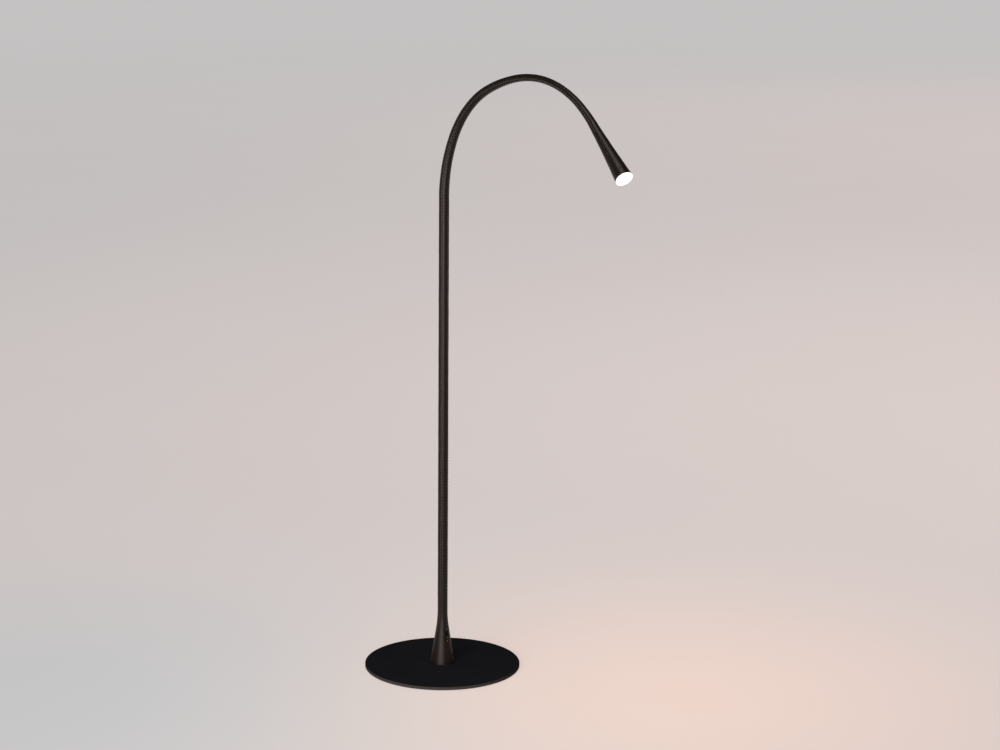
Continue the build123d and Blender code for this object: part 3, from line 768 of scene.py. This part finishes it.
openings = [punch(SWITCH_PLACE, SWITCH_OPENING), punch(SOCKET_PLACE, SOCKET_OPENING)]
print("punches:", len(openings))


# %% Make one stretch of the sleeve
def leather_stretch(name, low, high, segments, round_low=False, round_high=False, punches=()):
    """One closed stretch of the sleeve."""
    angles = full_turn(segments)
    profile = leather_profile(low, high, round_low, round_high)
    rings = []
    for distance, depth in profile:
        radii = sleeve_radius(distance) + hand_made(distance, angles) - drawn_in(distance, angles)
        radii = radii - depth * skived(distance)
        rings.append(ring_on_line(distance, radii, angles))
    distances = np.array([distance for distance, _ in profile])
    mesh = ringed_mesh(name, rings, distances, closed=True)
    edge_rings = [index for index, (_, depth) in enumerate(profile) if 0 < depth < LEATHER]
    finish_hide(mesh, [ring * segments + step for ring in edge_rings for step in range(segments)])
    if punches:
        mesh = punched(mesh, punches)
    return make_piece(name, mesh, smooth_angle=60)


print("rings every", 1000 * RING_STEP, "mm,", SLEEVE_SEGMENTS, "points in each")


def bend_across(piece):
    """Bake a piece's transform into its mesh."""
    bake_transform(piece)


first_cut = pivot_distances[0] - LINK / 2
last_cut = pivot_distances[-1] + LINK / 2
stem_leather = leather_stretch("stem_leather", HEM, first_cut, SLEEVE_SEGMENTS, round_low=True,
                               punches=openings)
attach(stem_leather, "base")
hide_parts("stem_sheath")

for index, centre in enumerate(pivot_distances):
    piece = leather_stretch(f"neck_leather_{index + 1}", centre - LINK / 2, centre + LINK / 2,
                            SLEEVE_SEGMENTS)
    if index < len(pivots) - 1:
        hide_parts(f"neck_sleeve_{index + 1}")
    bend_across(piece)

head_leather = leather_stretch("head_leather", last_cut, MOUTH - LENS_FLANGE, HEAD_SEGMENTS,
                               round_high=True)
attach(head_leather, "head")
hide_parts("head_sleeve")
print("sleeve:", len(pivots) + 2, "stretches,", len(stem_leather.data.vertices), "points in the first")

# %% [markdown]
# ## Thread
# Each stitch is a short bight of waxed thread: it comes up through one hole, arches over the
# leather and goes down through the next. It leans a little, as a saddle stitch does when it is
# always pulled the same way. Round sections along a bowed path make one stitch, and all stitches
# of a stretch are one piece, cut where its leather is cut.

# %% Material: waxed thread
THREAD_GLOSS = 0.22


def make_thread():
    """Thread with a twist: fine slanting bands and a waxy gleam."""
    material, tree, shader = new_material("waxed_thread")
    spot = place_at_rest(tree)
    fibres = use_group(tree, tool_marks, vector=spot, stretch=(1.0, 1.0, 0.4), size=0.0003,
                       roughness=0.5, swing=0.3)
    toned = use_group(tree, slow_shade, vector=spot, colour=rgb(0.085, 0.068, 0.060), size=0.02,
                      swing=0.5)
    wire(tree, shader, base_color=toned["Colour"], roughness=fibres["Roughness"],
         specular_ior_level=THREAD_GLOSS)
    bump(tree, shader, fibres["Height"], distance=0.00006)
    return material


waxed_thread = make_thread()
print("material:", waxed_thread.name)

# %% One stitch
STITCH_FROM = HEM + 0.004
STITCH_LENGTH = 0.0047
STITCH_LEAN = math.radians(9)
THREAD_RADIUS = 0.00050
THREAD_SIDES = 8
THREAD_STEPS = 7
THREAD_RISE = 0.75
THREAD_DIP = 1.9
THREAD_TAPER = 0.35


def one_stitch(row, centre):
    """Rings of one stitch: a bowed piece of thread whose ends dip into the leather."""
    rings = []
    turn = full_turn(THREAD_SIDES)
    for share in np.linspace(-1, 1, THREAD_STEPS):
        distance = centre + share * STITCH_LENGTH / 2
        radius = sleeve_radius(distance)
        angle = row_angle(row, distance) + share * STITCH_LENGTH / 2 * math.tan(STITCH_LEAN) / radius
        rise = THREAD_RADIUS * (THREAD_RISE - THREAD_DIP * share**4)
        point, across, sideways, along = on_line(distance)
        out = across * math.cos(angle) + sideways * math.sin(angle)
        round_about = along.cross(out)
        middle = point + out * (radius - CHANNEL_DEPTH + rise)
        thick = THREAD_RADIUS * (1 - THREAD_TAPER * share**4)
        rings.append(np.array(middle) + thick * (np.outer(np.cos(turn), out)
                                                 + np.outer(np.sin(turn), round_about)))
    return rings


print("stitch:", 1000 * STITCH_LENGTH, "mm long, one every", 1000 * STITCH_PITCH, "mm")


# %% Lay the stitches
def stitched_stretch(name, low, high):
    """All stitches of both rows whose middles lie in one stretch, as one piece."""
    points, faces = [], []
    for row in (ROW_LEFT, ROW_RIGHT):
        first = math.ceil((low - STITCH_FROM) / STITCH_PITCH)
        last = math.ceil((high - STITCH_FROM) / STITCH_PITCH)
        for count in range(first, last):
            rings = one_stitch(row, STITCH_FROM + count * STITCH_PITCH)
            offset = sum(len(block) for block in points)
            points.append(np.concatenate(rings))
            for ring in range(THREAD_STEPS - 1):
                for side in range(THREAD_SIDES):
                    near = offset + ring * THREAD_SIDES + side
                    far = offset + ring * THREAD_SIDES + (side + 1) % THREAD_SIDES
                    faces.append([near, far, far + THREAD_SIDES, near + THREAD_SIDES])
            faces.append([offset + side for side in reversed(range(THREAD_SIDES))])
            end = offset + (THREAD_STEPS - 1) * THREAD_SIDES
            faces.append([end + side for side in range(THREAD_SIDES)])
    mesh = bpy.data.meshes.new(name)
    mesh.from_pydata(np.concatenate(points).tolist(), [], faces)
    return make_piece(name, mesh, waxed_thread, smooth_angle=70)


stem_stitches = stitched_stretch("stem_stitching", STITCH_FROM, first_cut)
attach(stem_stitches, "base")
for index, centre in enumerate(pivot_distances):
    top = min(centre + LINK / 2, HEAD_SEAM_FROM)
    piece = stitched_stretch(f"neck_stitching_{index + 1}", centre - LINK / 2, top)
    bend_across(piece)
print("stitching:", len(stem_stitches.data.polygons), "faces on the stem")

# %% [markdown]
# ## The hose and the lead inside
# Under the leather of the neck runs a wound metal hose, and inside it the lead that feeds the
# light. Nobody sees them in use, but they carry the head, and a buyer may cut the lamp open in a
# drawing. The hose is a tube whose outside rises and falls along a screw line; the lead is a
# plain round tube. Both are cut like the leather.

# %% Materials: worked metal and moulded surfaces
def make_metal(name, colour, roughness, swing, stretch, size, relief, place=place_on_object):
    """A worked metal: tool marks along one direction and an uneven tone."""
    material, tree, shader = new_material(name)
    spot = place(tree)
    marks = use_group(tree, tool_marks, vector=spot, stretch=stretch, size=size,
                      roughness=roughness, swing=swing)
    toned = use_group(tree, slow_shade, vector=spot, colour=colour, size=0.02, swing=0.25)
    shaded = mix_colour(tree, 1.0, toned["Colour"], marks["Shade"], "MULTIPLY")
    wire(tree, shader, base_color=shaded, roughness=marks["Roughness"], metallic=1.0)
    bump(tree, shader, marks["Height"], relief)
    return material


def make_moulded(name, colour, roughness, size, relief, place=place_on_object):
    """A moulded or coated surface: fine tooth and an uneven tone."""
    material, tree, shader = new_material(name)
    spot = place(tree)
    tooth_out = use_group(tree, fine_tooth, vector=spot, size=size, roughness=roughness, swing=0.12)
    toned = use_group(tree, slow_shade, vector=spot, colour=colour, size=0.04, swing=0.25)
    wire(tree, shader, base_color=toned["Colour"], roughness=tooth_out["Roughness"])
    bump(tree, shader, tooth_out["Height"], relief)
    return material


STEEL = (rgb(0.42, 0.42, 0.43), 0.38, 0.2, (1, 1, 6), 0.0005, 0.00002)
JACKET = (rgb(0.02, 0.02, 0.021), 0.55, 0.0005, 0.00002)
hose_steel = make_metal("hose_steel", *STEEL, place=place_at_rest)
core_steel = make_metal("core_steel", *STEEL)
lead_jacket = make_moulded("lead_jacket", *JACKET, place=place_at_rest)
wire_jacket = make_moulded("wire_jacket", *JACKET)
print("materials:", hose_steel.name, lead_jacket.name)

# %% One stretch of hose
HOSE_INSET = 0.0013
HOSE_PITCH = 0.0036
HOSE_GROOVE = 0.0005
HOSE_WALL = 0.0016
HOSE_SEGMENTS = 32
HOSE_RINGS_PER_TURN = 6
HOSE_BORE_RINGS = 8


def hose_stretch(name, low, high):
    """A closed stretch of wound hose: ridged outside, smooth inside."""
    angles = full_turn(HOSE_SEGMENTS)
    steps = max(3, int((high - low) / HOSE_PITCH * HOSE_RINGS_PER_TURN))
    outside = np.linspace(low, high, steps)
    inside = np.linspace(high, low, HOSE_BORE_RINGS)
    rings = []
    for distance in outside:
        wave = np.cos(2 * math.pi * distance / HOSE_PITCH - angles)
        rings.append(ring_on_line(distance, sleeve_radius(distance) - HOSE_INSET
                                  - HOSE_GROOVE * (1 - wave) / 2, angles))
    for distance in inside:
        bore = np.full(HOSE_SEGMENTS, sleeve_radius(distance) - HOSE_INSET - HOSE_WALL)
        rings.append(ring_on_line(distance, bore, angles))
    mesh = ringed_mesh(name, rings, np.concatenate([outside, inside]), closed=True)
    return make_piece(name, mesh, hose_steel)


print("hose: one groove every", 1000 * HOSE_PITCH, "mm")

# %% Wind the hose and pull the lead through it
HOSE_FROM = pivot_distances[0] + 0.0104
HOSE_TO = pivot_distances[-1] + 0.0045
LEAD_RADIUS = 0.0016
LEAD_SEGMENTS = 14
LEAD_STEP = 0.004
LEAD_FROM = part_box("driver_module")[1].z
LEAD_TO = MOUTH - 0.0322


def lead_stretch(name, low, high):
    """A capped stretch of the lead."""
    angles = full_turn(LEAD_SEGMENTS)
    stations = np.linspace(low, high, max(2, int((high - low) / LEAD_STEP)))
    rings = [ring_on_line(at, np.full(LEAD_SEGMENTS, LEAD_RADIUS), angles) for at in stations]
    mesh = ringed_mesh(name, rings, stations, closed=False)
    piece = make_piece(name, mesh, lead_jacket)
    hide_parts("lead")
    return piece


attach(lead_stretch("lead_in_stem", LEAD_FROM, first_cut), "base")
for index, centre in enumerate(pivot_distances):
    low, high = centre - LINK / 2, centre + LINK / 2
    bend_across(lead_stretch(f"lead_in_neck_{index + 1}", low, high))
    hose = hose_stretch(f"neck_hose_{index + 1}", max(low, HOSE_FROM), min(high, HOSE_TO))
    if index < len(pivots) - 1:
        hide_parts(f"neck_core_{index + 1}")
    bend_across(hose)
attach(lead_stretch("lead_in_head", last_cut, LEAD_TO), "head")
print("hose:", round(HOSE_TO - HOSE_FROM, 3), "m, lead:", round(LEAD_TO - LEAD_FROM, 3), "m")

# %% [markdown]
# ## The spot's front
# A frosted disc closes the head. It glows warm white: brightest in the middle, a touch warmer
# towards the rim, because the reflector behind it throws most of its light forward. The disc is
# turned on a lathe: a slightly crowned face whose thin flange covers the leather's raw edge, and
# a skirt that grips the metal shell.

# %% Material: frosted glowing disc
GLOW = 1.05
GLOW_MIDDLE = rgb(1.0, 0.97, 0.92)
GLOW_RIM = rgb(1.0, 0.90, 0.74)
RIM_FROM = 0.008
RIM_TO = 0.015

mouth_point, mouth_across, mouth_sideways, mouth_along = on_line(MOUTH)


def make_lens():
    """A warm white glow that cools towards the middle, over a satin surface."""
    material, tree, shader = new_material("frosted_lens")
    spot = place_on_object(tree)
    from_middle = vector_math(tree, "DISTANCE", spot, tuple(mouth_point))
    rim = spread(tree, from_middle, RIM_FROM, RIM_TO)
    glow = mix_colour(tree, rim, GLOW_MIDDLE, GLOW_RIM)
    grains = use_group(tree, fine_tooth, vector=spot, size=0.0008, roughness=0.45, swing=0.1)
    wire(tree, shader, base_color=rgb(0.85, 0.82, 0.76), emission_color=glow,
         emission_strength=GLOW, roughness=grains["Roughness"])
    bump(tree, shader, grains["Height"], distance=0.00005)
    return material


frosted_lens = make_lens()
print("material:", frosted_lens.name)

# %% Turn the disc
LENS_THICKNESS = 0.0038
LENS_GAP = 0.00145
LENS_LIP = 0.0002
LENS_SKIRT = 0.005
LENS_SKIRT_WALL = 0.0012
SHELL_INSET = 0.00295
LENS_CROWN = 0.0006
LENS_POLE = 0.0002
LENS_RINGS = (0.2, 0.4, 0.6, 0.75, 0.88)
LENS_SHOULDER = 0.97
LENS_SEGMENTS = 96

lens_back = -LENS_THICKNESS
face = HEAD_RADIUS - LENS_LIP
disc = head_radius(HEAD_LENGTH + lens_back) - LENS_GAP
skirt = head_radius(HEAD_LENGTH + lens_back - LENS_SKIRT) - SHELL_INSET
lens_profile = [(LENS_POLE, LENS_CROWN)]
for share in LENS_RINGS:
    lens_profile.append((face * share, LENS_CROWN * (1 - share**2)))
lens_profile += [(face * LENS_SHOULDER, 0.0), (face, -LENS_FLANGE / 2), (face, -LENS_FLANGE),
                 (disc, -LENS_FLANGE), (disc, lens_back),
                 (skirt, lens_back), (skirt, lens_back - LENS_SKIRT),
                 (skirt - LENS_SKIRT_WALL, lens_back - LENS_SKIRT),
                 (skirt - LENS_SKIRT_WALL, lens_back), (LENS_POLE, lens_back)]
disc_mesh = turned_mesh("frosted_disc", lens_profile, mouth_point, mouth_across, mouth_sideways,
                        mouth_along, LENS_SEGMENTS)
lens = make_piece("frosted_disc", disc_mesh, frosted_lens, smooth_angle=35)
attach(lens, "head")
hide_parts("front_lens")
print("disc:", round(2000 * face, 1), "mm across")

# %% [markdown]
# ## Plate, pad and metal parts
# The plate is a steel disc with a fine matte powder coat: nearly black, without a gleam, and
# with a paler line of painted light round the rim. Under the leather sit turned aluminium parts.
# Each one keeps the frame's shape and only takes its finish here.

# %% Material: powder coat
PLATE_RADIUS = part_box("base_plate")[1].x
RIM_LIGHT_WIDTH = 0.0009
RIM_LIGHT_FULL = 0.0003
COAT_TONE = rgb(0.0128, 0.0124, 0.0143)
PAINTED_RIM_LIGHT = rgb(0.050, 0.042, 0.040)


def make_powder_coat():
    """Powder-coated steel: an even tooth, no hard gleam and a paler line of painted light round the
    rim.
    """
    material, tree, shader = new_material("powder_coat")
    spot = place_on_object(tree)
    tooth_out = use_group(tree, fine_tooth, vector=spot, size=0.0009, roughness=0.42, swing=0.14)
    toned = use_group(tree, slow_shade, vector=spot, colour=COAT_TONE, size=0.08, swing=0.35)
    flat_spot = vector_math(tree, "MULTIPLY", spot, (1.0, 1.0, 0.0))
    from_axis = vector_math(tree, "DISTANCE", flat_spot, (0.0, 0.0, 0.0))
    # painted light: the plate's outer edge is drawn paler, as where it catches light
    rim = spread(tree, from_axis, PLATE_RADIUS - RIM_LIGHT_WIDTH, PLATE_RADIUS - RIM_LIGHT_FULL)
    colour = mix_colour(tree, rim, toned["Colour"], PAINTED_RIM_LIGHT)
    wire(tree, shader, base_color=colour, roughness=tooth_out["Roughness"], specular_ior_level=0.0)
    bump(tree, shader, tooth_out["Height"], distance=0.00003)
    return material


powder_coat = make_powder_coat()
print("material:", powder_coat.name)

# %% Materials of the small parts
MOULDED = {
    # name: colour, roughness, size and depth of the tooth
    "pad_rubber": (rgb(0.018, 0.018, 0.018), 0.8, 0.0012, 0.00008),
    "moulded_black": (rgb(0.012, 0.012, 0.013), 0.42, 0.0004, 0.00002),
    "driver_cup": (rgb(0.62, 0.61, 0.58), 0.5, 0.0006, 0.00002),
    "board_white": (rgb(0.78, 0.78, 0.75), 0.35, 0.0005, 0.00001),
    "phosphor": (rgb(0.85, 0.62, 0.12), 0.4, 0.0004, 0.00002),
}
METALS = {
    # name: colour, roughness and its swing, direction, size and depth of the tool marks
    "turned_aluminium": (rgb(0.62, 0.62, 0.63), 0.34, 0.2, (1, 1, 14), 0.0006, 0.00001),
    "blackened_aluminium": (rgb(0.022, 0.021, 0.021), 0.55, 0.15, (1, 1, 10), 0.0006, 0.00001),
    "zinc_plate": (rgb(0.60, 0.60, 0.57), 0.33, 0.25, (1, 1, 1), 0.0005, 0.00001),
    "satin_nickel": (rgb(0.16, 0.145, 0.14), 0.48, 0.15, (1, 8, 1), 0.0003, 0.00001),
    "dark_nickel": (rgb(0.070, 0.063, 0.060), 0.48, 0.15, (1, 8, 1), 0.0003, 0.00001),
    "dark_bronze": (rgb(0.030, 0.024, 0.022), 0.50, 0.15, (1, 1, 8), 0.0004, 0.00001),
    "contact_brass": (rgb(0.72, 0.52, 0.24), 0.28, 0.15, (1, 1, 6), 0.0004, 0.00001),
    "mirror_coat": (rgb(0.88, 0.88, 0.88), 0.10, 0.05, (1, 1, 1), 0.0008, 0.000002),
}
small_part = {name: make_moulded(name, *values) for name, values in MOULDED.items()}
small_part.update({name: make_metal(name, *values) for name, values in METALS.items()})
print("materials:", len(bpy.data.materials))

# %% Give each piece of the frame its finish
FINISHES = {
    "base_plate": powder_coat, "foot_wires": wire_jacket, "lead": wire_jacket,
    "front_lens": frosted_lens, "stem_sheath": burnished_edge, "head_sleeve": burnished_edge,
}
SMALL_PARTS = {
    "pad_rubber": ["base_pad"],
    "moulded_black": ["switch_body", "power_socket"],
    "driver_cup": ["driver_module"],
    "board_white": ["led_board"],
    "phosphor": ["led_emitter"],
    "turned_aluminium": ["stem_tube", "stem_ferrule", "head_housing", "heat_sink"],
    "blackened_aluminium": ["foot_cone"],
    "zinc_plate": ["foot_screws", "grub_screws", "board_screws"],
    "satin_nickel": ["switch_screws"],
    "dark_nickel": ["switch_knob"],
    "dark_bronze": ["switch_plate"],
    "contact_brass": ["socket_pin"],
    "mirror_coat": ["reflector"],
}
for material_name, piece_names in SMALL_PARTS.items():
    for piece_name in piece_names:
        FINISHES[piece_name] = small_part[material_name]
for name, node in nodes.items():
    finish = FINISHES.get(name)
    if finish is None:
        finish = burnished_edge if name.startswith("neck_sleeve") else core_steel
    node.data.materials.clear()
    node.data.materials.append(finish)
print("finished", len(nodes), "pieces of the frame")

# %% [markdown]
# ## Floor and light
# The lamp stands on a plain pale floor that runs on to the horizon and melts into a pale world.
# The floor shows its own colour to the camera, with painted light in a few wide warm pools and painted
# shade in one cool pool.
# Close to the lamp it also takes light, so that the lamp's soft shadow falls on it. Further out
# it glows by itself, so that the low light can't bleach it from any side.

# %% A mask for the floor and one for the eye
def soft_spot(tree, place, centre, reach):
    """A mask that is 1 at a place on the floor and fades smoothly to 0 around it."""
    share = calc(tree, "DIVIDE", vector_math(tree, "DISTANCE", place, centre), reach)
    return calc(tree, "EXPONENT", calc(tree, "MULTIPLY", calc(tree, "MULTIPLY", share, share), -1.0))


def seen_directly(tree):
    """1 for what the camera sees plainly, in a reflection or through glass, else 0."""
    path = add(tree, "ShaderNodeLightPath").outputs
    seen = calc(tree, "MAXIMUM", path["Is Camera Ray"], path["Is Glossy Ray"])
    return calc(tree, "MAXIMUM", seen, path["Is Transmission Ray"])


print("helpers: soft_spot, seen_directly")

# %% Lay the floor
FLOOR_SIZE = 70.0
NEAR_TONE = rgb(0.520, 0.510, 0.510)
FAR_TONE = rgb(0.573, 0.557, 0.557)
NEAR_REACH = 2.0
FAR_REACH = 22.0
PAINTED_LIGHT_AND_SHADE_POOLS = (
    # centre, reach and what it adds to the floor's tone: painted light where warm, painted shade where
    # cool
    ((0.64, 2.52, 0.0), 4.00, (0.195, 0.121, 0.099)),
    ((0.43, 0.11, 0.0), 0.65, (0.169, 0.051, -0.008)),
    ((-0.27, -0.43, 0.0), 0.72, (-0.105, -0.045, -0.022)),
    ((-1.99, 10.80, 0.0), 6.00, (0.116, 0.055, 0.036)),
)
SHADOW_REACH = 1.2
SHADOW_GREY = 0.50
NEAR_GLOW = 0.77
FAR_GLOW = 0.97
LAMP_FOOT = (0.0, 0.0, 0.0)


def make_floor():
    """A pale floor: its own tone with painted pools of light and shade for the camera, and enough grey
    to take the lamp's shadow.
    """
    material, tree, shader = new_material("pale_floor")
    spot = place_on_object(tree)
    far = spread(tree, vector_math(tree, "DISTANCE", spot, LAMP_FOOT), NEAR_REACH, FAR_REACH)
    colour = mix_colour(tree, far, NEAR_TONE, FAR_TONE)
    # painted light and shade: warm pools where the lamp's light would fall, and one cool pool of
    # painted shadow
    for centre, reach, tint in PAINTED_LIGHT_AND_SHADE_POOLS:
        painted_pool = scaled(tree, tint, soft_spot(tree, spot, centre, reach))
        colour = vector_math(tree, "ADD", colour, painted_pool)
    cloud = use_group(tree, slow_shade, vector=spot, colour=colour, size=0.7, swing=0.02)
    by_lamp = soft_spot(tree, spot, LAMP_FOOT, SHADOW_REACH)
    lit = scaled(tree, cloud["Colour"], calc(tree, "MULTIPLY", by_lamp, SHADOW_GREY))
    wire(tree, shader, roughness=0.9, base_color=lit, specular_ior_level=0.0)
    glow = calc(tree, "MULTIPLY", seen_directly(tree),
                spread(tree, by_lamp, 0.0, 1.0, FAR_GLOW, NEAR_GLOW))
    own = add(tree, "ShaderNodeEmission", {"Color": cloud["Colour"], "Strength": glow})
    both = add(tree, "ShaderNodeAddShader", {0: shader.outputs[0], 1: own.outputs[0]})
    tree.links.new(both.outputs[0], tree.nodes["Material Output"].inputs["Surface"])
    return material


floor_mesh = bpy.data.meshes.new("floor")
half = FLOOR_SIZE / 2
floor_mesh.from_pydata([(-half, -half, 0), (half, -half, 0), (half, half, 0), (-half, half, 0)], [],
                       [(0, 1, 2, 3)])
floor = put_in_scene("floor", floor_mesh)
floor.data.materials.append(make_floor())
print("floor:", FLOOR_SIZE, "m square")

# %% [markdown]
# ## Lamps and world
# Dark leather shows almost only what it mirrors. So a large soft light stands low, close to the
# lamp and a little left of the camera: it draws one bright band down the stem and leaves both of
# its sides dark. A weaker one high above does the same for the head. The world adds a faint even
# fill. What the camera and the leather see of it is as pale as the far floor at the horizon and
# fades towards the top, which keeps the arch dark.

# %% Set the lights
STEM_MIDDLE = Vector((0.1, 0.0, 0.6))


def soft_light(name, turn, lift, distance, size, level):
    """A rectangular soft light, placed by angles seen from the stem.

    turn counts from the camera's side to its left and lift from the floor, in degrees. level is
    how bright a white surface that faces the light would come out.
    """
    azimuth = CAMERA_AZIMUTH - math.radians(90 + turn)
    lift = math.radians(lift)
    out = Vector((math.cos(azimuth) * math.cos(lift), math.sin(azimuth) * math.cos(lift),
                  math.sin(lift)))
    data = bpy.data.lights.new(name, "AREA")
    data.shape = "RECTANGLE"
    data.size, data.size_y = size
    data.energy = level * (math.pi * distance) ** 2
    light = put_in_scene(name, data)
    facing = (-out).to_track_quat("-Z", "Y").to_matrix().to_4x4()
    light.matrix_world = Matrix.Translation(STEM_MIDDLE + out * distance) @ facing
    light.visible_camera = False
    return light


key = soft_light("key", turn=18, lift=-1, distance=2.6, size=(2.0, 1.05), level=1.15)
key.data.color = (1.0, 0.97, 0.95)
overhead = soft_light("overhead", turn=27, lift=77, distance=3.0, size=(1.4, 1.4), level=0.42)
print("lights: key", round(key.data.energy), "W, overhead", round(overhead.data.energy), "W")

# %% Paint the world
WORLD_TONE = rgb(1.0, 0.975, 0.972)
WORLD_FILL = 0.15
WORLD_SEEN = 0.556
WORLD_TOP = 0.08
WORLD_FADE = 0.35

world = bpy.data.worlds.new("studio")
bpy.context.scene.world = world
world.use_nodes = True
backdrop = world.node_tree
direction = add(backdrop, "ShaderNodeTexCoord").outputs["Generated"]
above = add(backdrop, "ShaderNodeSeparateXYZ", {0: direction}).outputs["Z"]
pale = spread(backdrop, above, 0.0, WORLD_FADE, WORLD_SEEN, WORLD_TOP)
strength = add(backdrop, "ShaderNodeMix", {0: seen_directly(backdrop), 2: WORLD_FILL, 3: pale})
feed(backdrop, backdrop.nodes["Background"].inputs["Color"], WORLD_TONE)
feed(backdrop, backdrop.nodes["Background"].inputs["Strength"], strength.outputs[0])

bpy.context.scene.view_settings.view_transform = "Standard"
print("world: strength", WORLD_SEEN, "at the horizon,", WORLD_TOP, "above")
